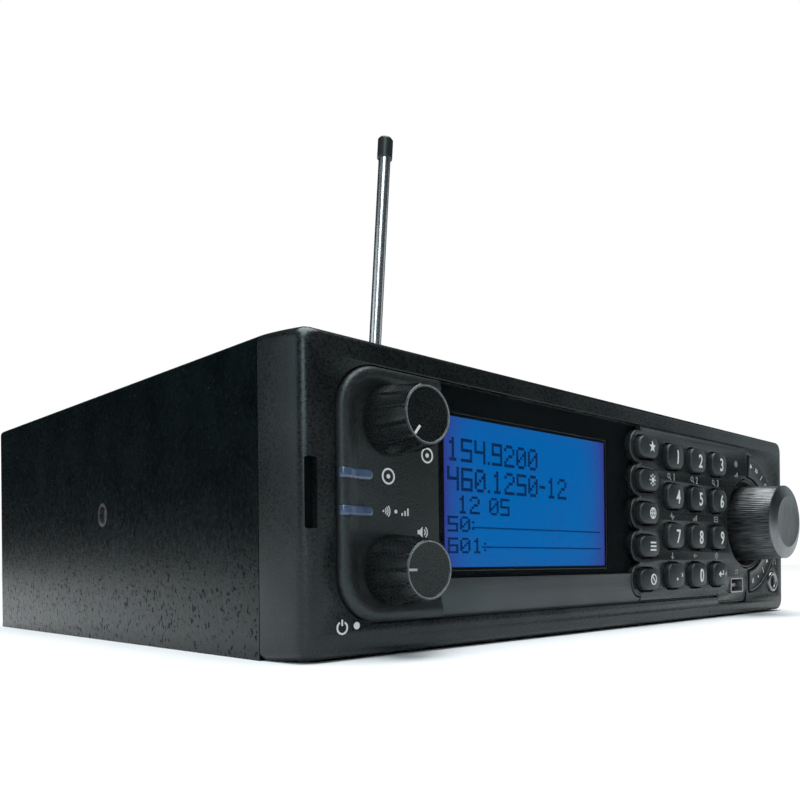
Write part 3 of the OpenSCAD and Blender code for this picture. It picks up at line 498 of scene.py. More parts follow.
def slice_up(bm, axis, cuts):
    """Adds edges where planes across one axis cross the mesh, so that it can be bent."""
    for cut in cuts:
        point = [0.0, 0.0, 0.0]
        normal = [0.0, 0.0, 0.0]
        point[axis] = cut
        normal[axis] = 1.0
        geometry = bm.verts[:] + bm.edges[:] + bm.faces[:]
        bmesh.ops.bisect_plane(bm, geom=geometry, dist=1e-5, plane_co=point, plane_no=normal)


def steps_between(low, high, pitch):
    count = max(1, math.ceil((high - low) / pitch))
    return [low + (high - low) * i / count for i in range(1, count)]


def bounds_of(bm):
    """(x0, x1, y0, y1) of what is in bm."""
    xs = [v.co.x for v in bm.verts]
    ys = [v.co.y for v in bm.verts]
    return min(xs), max(xs), min(ys), max(ys)


def drape(bm, height, pitch):
    """Cuts bm up finely and lifts it by height(x, y)."""
    x0, x1, y0, y1 = bounds_of(bm)
    slice_up(bm, 0, steps_between(x0, x1, pitch))
    slice_up(bm, 1, steps_between(y0, y1, pitch))
    for v in bm.verts:
        v.co.z += height(v.co.x, v.co.y)


def piece(name, bm, body, paint, nodes=(), sharp=32):
    """Makes a piece from bm, which is in panel coordinates, riding on a CAD body."""
    bmesh.ops.remove_doubles(bm, verts=bm.verts, dist=1e-4)
    bmesh.ops.dissolve_degenerate(bm, dist=1e-5, edges=bm.edges)
    bmesh.ops.recalc_face_normals(bm, faces=bm.faces)
    bmesh.ops.transform(bm, matrix=PANEL, verts=bm.verts)
    mesh = bpy.data.meshes.new(name)
    bm.to_mesh(mesh)
    bm.free()
    mesh.materials.append(PAINTS[paint])
    mesh.set_sharp_from_angle(angle=math.radians(sharp))
    made = bpy.data.objects.new(name, mesh)
    bpy.context.scene.collection.objects.link(made)
    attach(made, body)
    if nodes:
        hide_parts(*nodes)
    return made


def carve(target, cutters, sharp=32):
    """Cuts closed solids, given in panel coordinates, out of a piece."""
    for bm in cutters:
        bmesh.ops.recalc_face_normals(bm, faces=bm.faces)
        bmesh.ops.transform(bm, matrix=PANEL, verts=bm.verts)
        mesh = bpy.data.meshes.new("cutter")
        bm.to_mesh(mesh)
        bm.free()
        cutter = bpy.data.objects.new("cutter", mesh)
        bpy.context.scene.collection.objects.link(cutter)
        modifier = target.modifiers.new("cut", "BOOLEAN")
        modifier.object = cutter
        modifier.operation = "DIFFERENCE"
        modifier.solver = "EXACT"
        bpy.context.view_layer.update()
        cut = bpy.data.meshes.new_from_object(target.evaluated_get(bpy.context.evaluated_depsgraph_get()))
        target.modifiers.clear()
        target.data = cut
        bpy.data.objects.remove(cutter)
    target.data.set_sharp_from_angle(angle=math.radians(sharp))


# ---- front bezel ----

SIDE_TAPER, TOP_TAPER, LOW_TAPER, ARCH = 1.05, 0.3, 0.45, 0.85
EDGE_SIDE, EDGE_TOP = 2.1, 1.3
SLOT_X, SLOT_Y = 89.4, (21.7, 33.2)


def bezel_ring(bm, depth, round_x, round_y):
    draw = (1 - depth / BEZEL_DEPTH) ** 1.5
    x = BEZEL_X1 - SIDE_TAPER * draw - round_x
    loop = box_loop(-x, x, LOW_TAPER * draw + round_y, BEZEL_Y1 - TOP_TAPER * draw - round_y,
                    1.6 + 1.0 * draw, 6)
    for p in loop:
        low = max(0.0, 1 - p.y / 6.0)
        p.y += ARCH * draw * low * (1 - (p.x / BEZEL_X1) ** 2)
    return ring(bm, loop, -depth)


def scallops(grow, low, high):
    """The keypad's scalloped left edge between two heights, going up."""
    radius = SCALLOP_R + grow
    pitch = SCALLOP_Y[1] - SCALLOP_Y[0]
    points = []
    for i, y in enumerate(SCALLOP_Y):
        meet = math.degrees(math.acos(min(1.0, pitch / 2 / radius)))
        side = math.degrees(math.acos((SCALLOP_LINE - grow - SCALLOP_X) / radius))
        start = -side if i == 0 else -90 - meet
        end = side - 360 if i == len(SCALLOP_Y) - 1 else -270 + meet
        points += arc((SCALLOP_X, y), radius, start, end, 18)
    inside = [p for p in points if low + 0.01 < p.y < high - 0.01]
    first = SCALLOP_LINE - grow if inside[0].y - low > 0.7 else inside[0].x
    return tidy([Vector((first, low))] + inside + [Vector((SCALLOP_LINE - grow, high))])


def keypad_loop(grow, notch):
    """Outline of the keypad panel; notch is the radius of the round cut for the dial."""
    right, low = SEAM + grow, LOW - grow
    cut = math.degrees(math.acos((right - DIAL.x) / notch))
    loop = [Vector((SCALLOP_LINE - grow, low)), Vector((TAB_LEFT - grow, low))]
    loop += arc((TAB_LEFT - grow + 0.8, TAB_LOW - grow + 0.8), 0.8, 180, 270, 4)
    loop += arc((right - 0.4, TAB_LOW - grow + 0.4), 0.4, 270, 360, 3)
    loop += arc(DIAL, notch, -cut, cut - 360, 40)
    loop += [Vector((right, HIGH + grow))]
    loop += reversed(scallops(grow, low, HIGH + grow))
    return tidy(loop)


def island_hole(grow):
    """Outline of the pocket for the panels, with the dial's bowl bulging out on the right."""
    left, right, low, high = LEFT - grow, SEAM + grow, LOW - grow, HIGH + grow
    cut = math.degrees(math.acos((right - DIAL.x) / (BOWL_R + 0.05)))
    corner = ISLAND_CORNER + grow
    loop = arc((left + corner, low + corner), corner, 180, 270, 12)
    loop += [Vector((TAB_LEFT - grow, low))]
    loop += arc((TAB_LEFT - grow + 0.8, TAB_LOW - grow + 0.8), 0.8, 180, 270, 4)
    loop += arc((right - 0.4, TAB_LOW - grow + 0.4), 0.4, 270, 360, 3)
    loop += arc(DIAL, BOWL_R + 0.05, -cut, cut, 40)
    loop += [Vector((right, high))]
    loop += arc((left + corner, high - corner), corner, 90, 180, 12)
    return tidy(loop)


def sector(start, end, grow):
    """Outline of a crescent key."""
    out, back = CRESCENT_OUT + grow, CRESCENT_IN - grow
    lean_out = math.degrees(grow / out)
    lean_in = math.degrees(grow / back)
    loop = arc(DIAL, out, start - lean_out, end + lean_out, 24)
    return tidy(loop + arc(DIAL, back, end + lean_in, start - lean_in, 24))


def front_bezel():
    bm = bmesh.new()
    stations = [(BEZEL_DEPTH * (1 - i / 6) + EDGE_SIDE * i / 6, 0.0, 0.0) for i in range(6)]
    for i in range(9):
        a = math.pi / 2 * i / 8
        turn = 1 - math.cos(a)
        stations.append((EDGE_SIDE * (1 - math.sin(a)), EDGE_SIDE * turn, EDGE_TOP * turn))
    outer = [bezel_ring(bm, *s) for s in stations]
    for back, front in zip(outer, outer[1:]):
        skin(bm, back, front)
    lcd = area("lcd_glass")
    pocket_loop = hole(island_hole(GAP))
    straight = [hole(disc(PHONE, 3.45, 40))]
    straight += [hole(sector(a0, a1, 0.3)) for a0, a1 in CRESCENT_ANGLES.values()]
    sunk = [hole(box_loop(lcd[0] - 0.3, lcd[1] + 0.3, lcd[2] - 0.3, lcd[3] + 0.3, 0.8, 4)),
            hole(box_loop(1.8, 49.5, 7.9, 48.3, 2.0, 4)), hole(disc(DIAL, BOWL_R - 0.3, 48)),
            hole(box_loop(USB.x - 4.1, USB.x + 4.1, USB.y - 2.4, USB.y + 2.4, 0.6, 3))]
    sunk += [hole(disc(middle(node), 3.6)) for node in ("volume_shaft", "squelch_shaft")]
    x0, x1, y0, y1 = area("light_bars")
    sunk += [hole(box_loop(x0 - 0.1, x1 + 0.2, y - BAR_HALF - 0.2, y + BAR_HALF + 0.2, 0.8, 4))
             for y in (y0 + BAR_HALF, y1 - BAR_HALF)]
    soft = 0.18
    profile = ((soft, 0.0), (soft * 0.3, -soft * 0.3), (0.0, -soft))
    face = [[ring(bm, inset(loop, d), h) for d, h in profile] for loop in [pocket_loop] + straight]
    for rings in face:
        skin(bm, rings[0], rings[1])
        skin(bm, rings[1], rings[2])
    lid(bm, [outer[-1]] + [rings[0] for rings in face])
    floor = ring(bm, pocket_loop, -POCKET)
    skin(bm, face[0][2], floor)
    through = [ring(bm, loop, -POCKET) for loop in sunk]
    lid(bm, [floor] + through)
    inner_loop = box_loop(BEZEL_X0 + 2.2, BEZEL_X1 - 2.2, 2.2, BEZEL_Y1 - 2.2, 2.0, 6)
    inner = ring(bm, inner_loop, -WALL)
    ends = [ring(bm, loop, -WALL) for loop in straight + sunk]
    for front, back in zip([rings[2] for rings in face[1:]] + through, ends):
        skin(bm, front, back)
    lid(bm, [inner] + ends)
    back = ring(bm, inner_loop, -BEZEL_DEPTH)
    skin(bm, inner, back)
    lid(bm, [outer[0], back])
    made = piece("bezel_shell", bm, "case", "bezel_plastic", ["front_bezel"], sharp=40)
    slots = []
    for x in (-SLOT_X, SLOT_X):
        slot = bmesh.new()
        solid(slot, [box_loop(x - 1.0, x + 1.0, *SLOT_Y, 0.4, 3)], [(0.0, -3.6), (0.0, 2.0)])
        slots.append(slot)
    carve(made, slots, 40)


front_bezel()


def slot_liners():
    """Near-black sheets set in the two upright slots at the bezel's ends: painted shade for their dark
    insides.
    """
    bm = bmesh.new()
    for x in (-SLOT_X, SLOT_X):
        loop = box_loop(x - 0.96, x + 0.96, SLOT_Y[0] + 0.04, SLOT_Y[1] - 0.04)
        solid(bm, [loop], [(0.0, -2.9), (0.0, -1.4)])
    piece("slot_liners", bm, "case", "lens_print")


slot_liners()


def dial_bowl():
    bm = bmesh.new()
    lathe(bm, [(BOWL_R - 0.02, -0.35), (BOWL_R - 0.1, -0.12), (BOWL_R - 0.35, -0.05), (BOWL_R - 0.6, -0.3),
               (BOWL_R - 1.1, -1.2), (BOWL_R - 1.6, -2.3), (BOWL_R - 2.1, -2.75), (BOWL_R - 2.8, -2.85),
               (3.6, -2.85), (3.6, -4.6), (BOWL_R - 0.4, -4.6), (BOWL_R - 0.4, -2.4), (BOWL_R - 0.02, -1.6),
               (BOWL_R - 0.02, -0.35)], DIAL, 96)
    piece("dial_bowl", bm, "case", "bezel_plastic")


dial_bowl()

# ---- panels of the island ----

RIM_PROFILE = [(0.0, -1.0), (0.0, 0.2), (0.12, 0.55), (0.4, 0.86), (0.8, 1.08), (1.25, 1.18), (1.7, 1.17),
               (2.15, 1.04), (2.6, 0.82), (3.05, 0.58), (3.5, 0.38), (4.0, 0.25), (4.6, 0.2)]


def rim_height(distance):
    """Height of the controls panel at a distance in from its edge."""
    for (d0, h0), (d1, h1) in zip(RIM_PROFILE[1:], RIM_PROFILE[2:]):
        if distance <= d1:
            return h0 + (h1 - h0) * (distance - d0) / (d1 - d0)
    return RIM_PROFILE[-1][1]


def bar_loop(y, grow):
    x0, x1, _, _ = area("light_bars")
    half = BAR_HALF + grow
    return tidy([Vector((x0 - grow, y - half))] + arc((x1 + grow - half, y), half, -90, 90, 12)
                + [Vector((x0 - grow, y + half))])


def knob_panel():
    bm = bmesh.new()
    solid(bm, [box_loop(LEFT, LENS_LEFT + 18, LOW, HIGH, ISLAND_CORNER, 14)], RIM_PROFILE)
    geometry = bm.verts[:] + bm.edges[:] + bm.faces[:]
    cut = bmesh.ops.bisect_plane(bm, geom=geometry, dist=1e-5, plane_co=(ISLAND_RIGHT, 0, 0),
                                 plane_no=(1, 0, 0), clear_outer=True)
    bmesh.ops.holes_fill(bm, edges=[e for e in cut["geom_cut"] if isinstance(e, bmesh.types.BMEdge)])
    made = piece("controls_panel", bm, "case", "panel_plastic", ["knob_panel"])
    cutters = []
    for y in bar_heights():
        cutter = bmesh.new()
        solid(cutter, [bar_loop(y, 0.06)], [(0.0, -3.0), (0.0, 4.0)])
        cutters.append(cutter)
    for node in ("volume_shaft", "squelch_shaft"):
        cutter = bmesh.new()
        solid(cutter, [disc(middle(node), 3.6)], [(0.0, -3.0), (0.0, 4.0)])
        cutters.append(cutter)
    carve(made, cutters)


def bar_heights():
    _, _, y0, y1 = area("light_bars")
    return (y0 + BAR_HALF, y1 - BAR_HALF)


def light_bars():
    """Two light pipes that follow the panel's rim and end round on its floor."""
    x0, x1, _, _ = area("light_bars")
    for name, y in zip(("lower", "upper"), bar_heights()):
        bm = bmesh.new()
        solid(bm, [bar_loop(y, 0.0)], [(0.0, -7.8), (0.0, 0.02), (0.06, 0.14), (0.2, 0.22), (0.45, 0.27)])
        slice_up(bm, 0, steps_between(x0, x1, 0.35))
        for v in bm.verts:
            if v.co.z > -1:
                v.co.z += max(rim_height(max(0.0, v.co.x - LEFT)), 0.55)
        made = piece(name + "_light_bar", bm, "case", "light_pipe")
        if name == "lower":
            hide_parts("light_bars")


knob_panel()
light_bars()

ROLL_HEIGHT, ROLL_DEPTH = 5.2, 1.5


def roll(y):
    """How far the island's face rolls back along its lower edge."""
    share = min(1.0, max(0.0, (LOW + ROLL_HEIGHT - y) / ROLL_HEIGHT))
    return -ROLL_DEPTH * (1 - math.sqrt(1 - 0.97 * share * share))


def roll_back(bm):
    slice_up(bm, 1, steps_between(LOW, LOW + ROLL_HEIGHT, 0.4))
    for v in bm.verts:
        if v.co.z > -0.9 and v.co.y < LOW + ROLL_HEIGHT:
            v.co.z = max(v.co.z + roll(max(v.co.y, LOW)), -0.95)


def trim_strip():
    bm = bmesh.new()
    right = scallops(SEAM_GAP, LOW, LENS_LOW - 0.1)
    loop = tidy([Vector((LENS_LEFT, LOW))] + right + [Vector((LENS_LEFT, LENS_LOW - 0.1))])
    solid(bm, [loop], edge(-1.0, ISLAND, 0.15))
    roll_back(bm)
    piece("satin_strip", bm, "case", "strip_plastic", ["trim_strip"])


def key_holes():
    loops = []
    out = FLANGE - KEY_SLACK
    for node in DIGITS + FUNCTIONS:
        x0, x1, y0, y1 = area(node)
        loop = box_loop(x0 + out, x1 - out, y0 + out, y1 - out, KEY_CORNER + KEY_SLACK, 6)
        loops.append(hole(loop))
    return loops


def keypad_panel():
    bm = bmesh.new()
    profile = [(0.0, -1.0), (0.0, 0.42), (0.08, 0.62), (0.22, 0.74), (0.42, 0.76), (0.62, 0.68),
               (0.8, ISLAND)]
    usb = hole(box_loop(USB.x - 3.9, USB.x + 3.9, USB.y - 2.2, USB.y + 2.2, 0.55, 4))
    outline = [ring(bm, inset(keypad_loop(0.0, BOWL_R + 0.4), d), h) for d, h in profile]
    soft = [(0.0, -1.0), (0.0, ISLAND - 0.3), (0.09, ISLAND - 0.08), (0.3, ISLAND)]
    holes = [[ring(bm, inset(loop, d), h) for d, h in soft] for loop in key_holes() + [usb]]
    for stack in [outline] + holes:
        for low, high in zip(stack, stack[1:]):
            skin(bm, low, high)
    for end in (0, -1):
        lid(bm, [outline[end]] + [stack[end] for stack in holes])
    roll_back(bm)
    piece("keypad_plate", bm, "case", "bezel_plastic", ["keypad_panel"])


trim_strip()
keypad_panel()

# ---- display ----


def window(grow):
    x0, x1, y0, y1 = area("lcd_glass")
    margin = 3.0 - grow
    return x0 + margin, x1 - margin, y0 + margin, y1 - margin


def lens_loop(grow):
    right = scallops(SEAM_GAP + grow, LENS_LOW + grow, HIGH - grow)
    return tidy([Vector((LENS_LEFT + grow, LENS_LOW + grow))] + right
                + [Vector((LENS_LEFT + grow, HIGH - grow))])


def display():
    """Clear lens, the black print behind it, and the window's light inner edge."""
    bm = bmesh.new()
    solid(bm, [lens_loop(0.0)], edge(-0.85, ISLAND, 0.22, 4))
    piece("lens", bm, "case", "lens_clear", ["display_lens"])
    bm = bmesh.new()
    solid(bm, [lens_loop(0.05), hole(box_loop(*window(0.75)))], [(0.0, -1.1), (0.0, -0.9)])
    solid(bm, [box_loop(*window(3.3)), hole(box_loop(*window(0.0)))], [(0.0, -1.29), (0.0, -1.2)])
    piece("lens_print", bm, "case", "lens_print")
    bm = bmesh.new()
    solid(bm, [box_loop(*window(0.72)), hole(box_loop(*window(0.55)))], [(0.0, -1.19), (0.0, -1.12)])
    piece("window_edge", bm, "case", "strip_plastic")


PIXELS = {
    "0": "01110 10001 10011 10101 11001 10001 01110", "1": "00100 01100 00100 00100 00100 00100 01110",
    "2": "01110 10001 00001 00110 01000 10000 11111", "3": "11111 00001 00001 01111 00001 00001 11111",
    "4": "10001 10001 10001 11111 00001 00001 00001", "5": "11111 10000 10000 11111 00001 00001 11111",
    "6": "11111 10000 10000 11111 10001 10001 11111", "7": "11111 00001 00001 00001 00001 00001 00001",
    "8": "11111 10001 10001 11111 10001 10001 11111", "9": "11111 10001 10001 11111 00001 00001 11111",
    ".": "0 0 0 0 0 0 1", ":": "0 0 1 0 0 1 0", "-": "000 000 000 111 000 000 000",
    " ": "000 000 000 000 000 000 000",
}


def pixel_line(bm, words, x, y, cell_x, cell_y):
    """One line of generic digits in square dots, from its upper left corner."""
    for letter in words:
        rows = PIXELS[letter].split()
        for j, row in enumerate(rows):
            for i, dot in enumerate(row):
                if dot == "1":
                    left, top = x + i * cell_x, y - j * cell_y
                    solid(bm, [box_loop(left, left + cell_x * 0.96, top - cell_y * 0.95, top)],
                          [(0.0, -1.27), (0.0, -1.21)])
        x += (len(rows[0]) + 1) * cell_x


def display_text():
    x0, _, _, y1 = window(0.0)
    bm = bmesh.new()
    large, small = 0.62, 0.55
    pixel_line(bm, "154.9200", x0 + 0.9, y1 - 4.0, large, 0.65)
    pixel_line(bm, "460.1250-12", x0 + 0.9, y1 - 9.6, large, 0.65)
    pixel_line(bm, "12 05", x0 + 3.6, y1 - 15.0, small, 0.5)
    for words, top in (("50:", 19.0), ("601:", 23.1)):
        pixel_line(bm, words, x0 + 0.9, y1 - top, small, 0.43)
    for left, top in ((7.6, 20.9), (10.2, 24.7)):
        count = int((window(0.0)[1] - 1.4 - x0 - left) / 0.62)
        for i in range(count):
            x = x0 + left + i * 0.62
            solid(bm, [box_loop(x, x + 0.44, y1 - top - 0.32, y1 - top)], [(0.0, -1.27), (0.0, -1.21)])
    piece("display_digits", bm, "case", "lcd_segments")


display()
display_text()

# ---- keys ----


def crown(width, height):
    """Height of a key's dome at an offset from its middle."""
    reach = math.hypot(width, height) / 2
    radius = (reach * reach + KEY_CROWN * KEY_CROWN) / (2 * KEY_CROWN)
    return lambda dx, dy: KEY_TOP - radius + math.sqrt(radius * radius - dx * dx - dy * dy)


def key_cap(node):
    x0, x1, y0, y1 = area(node)
    centre = middle(node)
    x0, x1, y0, y1 = x0 + FLANGE, x1 - FLANGE, y0 + FLANGE, y1 - FLANGE
    dome = crown(x1 - x0, y1 - y0)
    loop = box_loop(x0, x1, y0, y1, KEY_CORNER, 8)
    bm = bmesh.new()
    stack = [ring(bm, inset(loop, -FLANGE), -2.1), ring(bm, inset(loop, -FLANGE), -1.3),
             ring(bm, loop, -1.3)]
    for i in range(7):
        a = math.pi / 2 * i / 6
        drawn = inset(loop, KEY_ROUND * (1 - math.cos(a)))
        made = ring(bm, drawn, 0.0)
        for v in made:
            v.co.z = dome(v.co.x - centre.x, v.co.y - centre.y) - KEY_ROUND * (1 - math.sin(a))
        stack.append(made)
    for share in (0.8, 0.6, 0.4, 0.2):
        made = ring(bm, [centre + (p - centre) * share for p in inset(loop, KEY_ROUND)], 0.0)
        for v in made:
            v.co.z = dome(v.co.x - centre.x, v.co.y - centre.y)
        stack.append(made)
    for low, high in zip(stack, stack[1:]):
        skin(bm, low, high)
    tip = bm.verts.new((centre.x, centre.y, dome(0.0, 0.0)))
    for i in range(len(stack[-1])):
        bm.faces.new((stack[-1][i - 1], stack[-1][i], tip)).smooth = True
    lid(bm, [stack[0]])
    lathe(bm, [(0.0, -2.1), (1.9, -2.1), (1.9, -6.7), (0.0, -6.7)], centre, 24)
    piece(node + "_cap", bm, node, "key_rubber", [node], sharp=50)
    return dome


def crescent_key(node):
    start, end = CRESCENT_ANGLES[node]
    bm = bmesh.new()
    solid(bm, [sector(start, end, 0.0)], [(0.0, -3.9), (0.0, 0.1), (0.07, 0.26), (0.22, 0.36), (0.5, 0.4),
                                          (0.75, 0.36), (0.95, 0.3)])
    angle = math.radians((start + end) / 2)
    reach = (CRESCENT_IN + CRESCENT_OUT) / 2
    lathe(bm, [(0.0, -3.8), (1.9, -3.8), (1.9, -6.7), (0.0, -6.7)],
          DIAL + Vector((math.cos(angle), math.sin(angle))) * reach, 24)
    piece(node + "_cap", bm, node, "bezel_plastic", [node])


# ---- legends ----

INK = 0.05                 # thickness of printed ink


def stroke(points, width):
    """Closed outline of a thick line through points, with square ends."""
    points = [Vector(p) for p in points]
    sides = []
    for path in (points, points[::-1]):
        for start, end in zip(path, path[1:]):
            along = (end - start).normalized()
            off = Vector((along.y, -along.x)) * (width / 2)
            sides += [start + off, end + off]
    return tidy(sides)


def line(*points, width=0.16):
    return [[stroke(points, width)]]


def hoop(x, y, radius, width=0.16):
    return [[disc((x, y), radius + width / 2), hole(disc((x, y), radius - width / 2))]]


def spot(x, y, radius):
    return [[disc((x, y), radius, 16)]]


def wave(x, y, radius, start, end, width=0.16):
    outer = arc((x, y), radius + width / 2, start, end, 10)
    return [[tidy(outer + arc((x, y), radius - width / 2, end, start, 10))]]


def frame_of(x0, x1, y0, y1, width=0.16):
    return [[box_loop(x0, x1, y0, y1), hole(box_loop(x0 + width, x1 - width, y0 + width, y1 - width))]]


def patch(*points):
    return [[[Vector(p) for p in points]]]


def star():
    points = []
    for i in range(10):
        radius = 1.0 if i % 2 == 0 else 0.42
        a = math.radians(90 + 36 * i)
        points.append(Vector((radius * math.cos(a), radius * math.sin(a))))
    return [[points]]


def rays(inner, outer, count, width=0.2):
    turn = [2 * math.pi * i / count for i in range(count)]
    return [shape for a in turn for shape in line((inner * math.cos(a), inner * math.sin(a)),
                                                  (outer * math.cos(a), outer * math.sin(a)), width=width)]


ICONS = {
    "star": star(),
    "sun": spot(0, 0, 0.45) + rays(0.65, 1.0, 8),
    "globe": hoop(0, 0, 0.85, 0.2) + line((-0.75, 0), (0.75, 0), width=0.18)
             + wave(-0.9, 0, 1.2, -38, 38, 0.18) + wave(0.9, 0, 1.2, 142, 218, 0.18),
    "menu": line((-0.9, 0.6), (0.9, 0.6), width=0.28) + line((-0.9, 0), (0.9, 0), width=0.28)
            + line((-0.9, -0.6), (0.9, -0.6), width=0.28),
    "barred": hoop(0, 0, 0.8, 0.24) + line((-0.5, 0.5), (0.5, -0.5), width=0.24),
    "ring": hoop(0, 0, 0.62, 0.16) + spot(0, 0, 0.2),
    "waves": spot(-0.7, 0, 0.2) + wave(-0.7, 0, 0.6, -50, 50, 0.2) + wave(-0.7, 0, 1.05, -45, 45, 0.2)
             + wave(-0.7, 0, 1.5, -40, 40, 0.2),
    "speaker": patch((-1.0, -0.3), (-0.6, -0.3), (-0.1, -0.75), (-0.1, 0.75), (-0.6, 0.3), (-1.0, 0.3))
               + wave(-0.1, 0, 0.5, -50, 50) + wave(-0.1, 0, 0.9, -50, 50),
    "power": wave(0, 0, 0.75, 120, 420, 0.24) + line((0, 0.25), (0, 1.0), width=0.24),
    "lens": hoop(-0.2, 0.2, 0.55, 0.2) + line((0.2, -0.2), (0.8, -0.8), width=0.26),
    "pulse": line((-1.0, 0), (-0.5, 0), (-0.2, 0.8), (0.2, -0.8), (0.5, 0), (1.0, 0), width=0.2),
    "levels": line((-0.7, -0.7), (-0.7, -0.2), width=0.34) + line((0, -0.7), (0, 0.2), width=0.34)
              + line((0.7, -0.7), (0.7, 0.7), width=0.34),
    "screen": frame_of(-1.0, 1.0, -0.7, 0.7, 0.2) + line((-0.5, 0), (0.5, 0), width=0.2),
    "down": line((0, 0.8), (0, -0.6), width=0.22)
            + line((-0.5, -0.2), (0, -0.75), (0.5, -0.2), width=0.22),
    "back": line((-0.7, 0), (0.9, 0), width=0.22)
            + line((-0.2, 0.5), (-0.75, 0), (-0.2, -0.5), width=0.22),
    "diamond": line((0, 0.85), (-0.85, 0), (0, -0.85), (0.85, 0), (0, 0.85), width=0.2),
    "cross": line((-0.6, 0.6), (0.6, -0.6), width=0.26) + line((-0.6, -0.6), (0.6, 0.6), width=0.26),
    "tick": line((-0.7, 0), (-0.2, -0.55), (0.75, 0.6), width=0.26),
    "enter": line((0.8, 0.8), (0.8, 0), (-0.7, 0), width=0.26)
             + line((-0.2, 0.5), (-0.75, 0), (-0.2, -0.5), width=0.26),
    "press": hoop(0, 0, 0.8, 0.18) + spot(0, 0, 0.4),
    "chevrons": line((-0.7, 0.6), (-0.1, 0), (-0.7, -0.6), width=0.28)
                + line((0.1, 0.6), (0.7, 0), (0.1, -0.6), width=0.28),
    "pause": line((-0.35, 0.65), (-0.35, -0.65), width=0.34)
             + line((0.35, 0.65), (0.35, -0.65), width=0.34),
    "play": patch((-0.5, -0.7), (0.75, 0.0), (-0.5, 0.7)),
    "slash": line((0.2, 0.8), (-0.2, -0.8), width=0.26),
    "swap": line((-0.9, 0.35), (0.9, 0.35), width=0.2) + line((0.5, 0.75), (0.9, 0.35), width=0.2)
            + line((-0.9, -0.35), (0.9, -0.35), width=0.2) + line((-0.5, -0.75), (-0.9, -0.35), width=0.2),
    "phones": wave(0, -0.1, 0.75, 0, 180, 0.18) + line((-0.75, -0.1), (-0.75, -0.7), width=0.36)
              + line((0.75, -0.1), (0.75, -0.7), width=0.36),
    "point": spot(0, 0, 0.36),
}


def icon(bm, name, x, y, size, turn=0.0, low=0.0):
    """Adds an icon of half-width size, centred on (x, y)."""
    cos, sin = math.cos(math.radians(turn)), math.sin(math.radians(turn))

    def placed(p):
        return Vector((x + size * (p.x * cos - p.y * sin), y + size * (p.x * sin + p.y * cos)))

    for loops in ICONS[name]:
        solid(bm, [[placed(p) for p in loop] for loop in loops], [(0.0, low - 0.2), (0.0, low + INK)])


def digit(bm, words, x, y, height, weight, low=0.0, narrow=0.86):
    """Adds a printed number, height tall and centred on (x, y)."""
    curve = bpy.data.curves.new("number", "FONT")
    curve.body = words
    curve.size = height / 0.7
    curve.offset = weight
    curve.extrude = 0.1 + INK / 2
    curve.resolution_u = 5
    holder = bpy.data.objects.new("number", curve)
    bpy.context.scene.collection.objects.link(holder)
    mesh = bpy.data.meshes.new_from_object(holder.evaluated_get(bpy.context.evaluated_depsgraph_get()))
    bpy.data.objects.remove(holder)
    part = bmesh.new()
    part.from_mesh(mesh)
    x0, x1, y0, y1 = bounds_of(part)
    for v in part.verts:
        v.co.x = x + (v.co.x - (x0 + x1) / 2) * narrow
        v.co.y = y + (v.co.y - (y0 + y1) / 2)
        v.co.z += low - 0.1 + INK / 2
    part.to_mesh(mesh)
    part.free()
    bm.from_mesh(mesh)


KEY_MARKS = {"key_" + str(i): str(i) for i in range(10)}
SYMBOLS = {"lockout_key": "barred", "menu_key": "menu", "location_key": "globe", "weather_key": "sun",
           "priority_key": "star"}


def on_dome(node, dome, bm):
    """Lays the ink in bm over a key's dome."""
    centre = middle(node)
    drape(bm, lambda x, y: dome(x - centre.x, y - centre.y), 0.7)
    piece(node + "_mark", bm, node, "legend", sharp=60)


def digit_keys():
    for node in DIGITS:
        dome = key_cap(node)
        centre = middle(node)
        bm = bmesh.new()
        if node in KEY_MARKS:
            digit(bm, KEY_MARKS[node], centre.x, centre.y - 0.15, 3.45, 0.06)
        elif node == "key_point":
            icon(bm, "point", centre.x - 0.9, centre.y - 0.9, 1.0)
            icon(bm, "cross", centre.x + 1.6, centre.y + 0.1, 0.75)
        else:
            icon(bm, "enter", centre.x - 0.9, centre.y, 1.35)
            icon(bm, "tick", centre.x + 1.9, centre.y + 0.1, 0.75)
        on_dome(node, dome, bm)


def function_keys():
    for node in FUNCTIONS:
        dome = key_cap(node)
        centre = middle(node)
        bm = bmesh.new()
        icon(bm, SYMBOLS[node], centre.x + 0.3, centre.y, 1.5)
        on_dome(node, dome, bm)


def arc_marks(node, names, start, end):
    """Icons set along the middle of a crescent key."""
    bm = bmesh.new()
    for i, name in enumerate(names):
        a = start + (end - start) * i / (len(names) - 1)
        at = DIAL + Vector((math.cos(math.radians(a)), math.sin(math.radians(a)))) * 17.6
        icon(bm, name, at.x, at.y, 1.1, a - 90, 0.3)
    piece(node + "_mark", bm, node, "legend", sharp=60)


digit_keys()
function_keys()
for crescent in CRESCENT_ANGLES:
    crescent_key(crescent)
arc_marks("scan_key", ["play", "chevrons", "slash", "lens"], 80, 42)
arc_marks("hold_key", ["pause", "point", "slash", "play"], -78, -40)


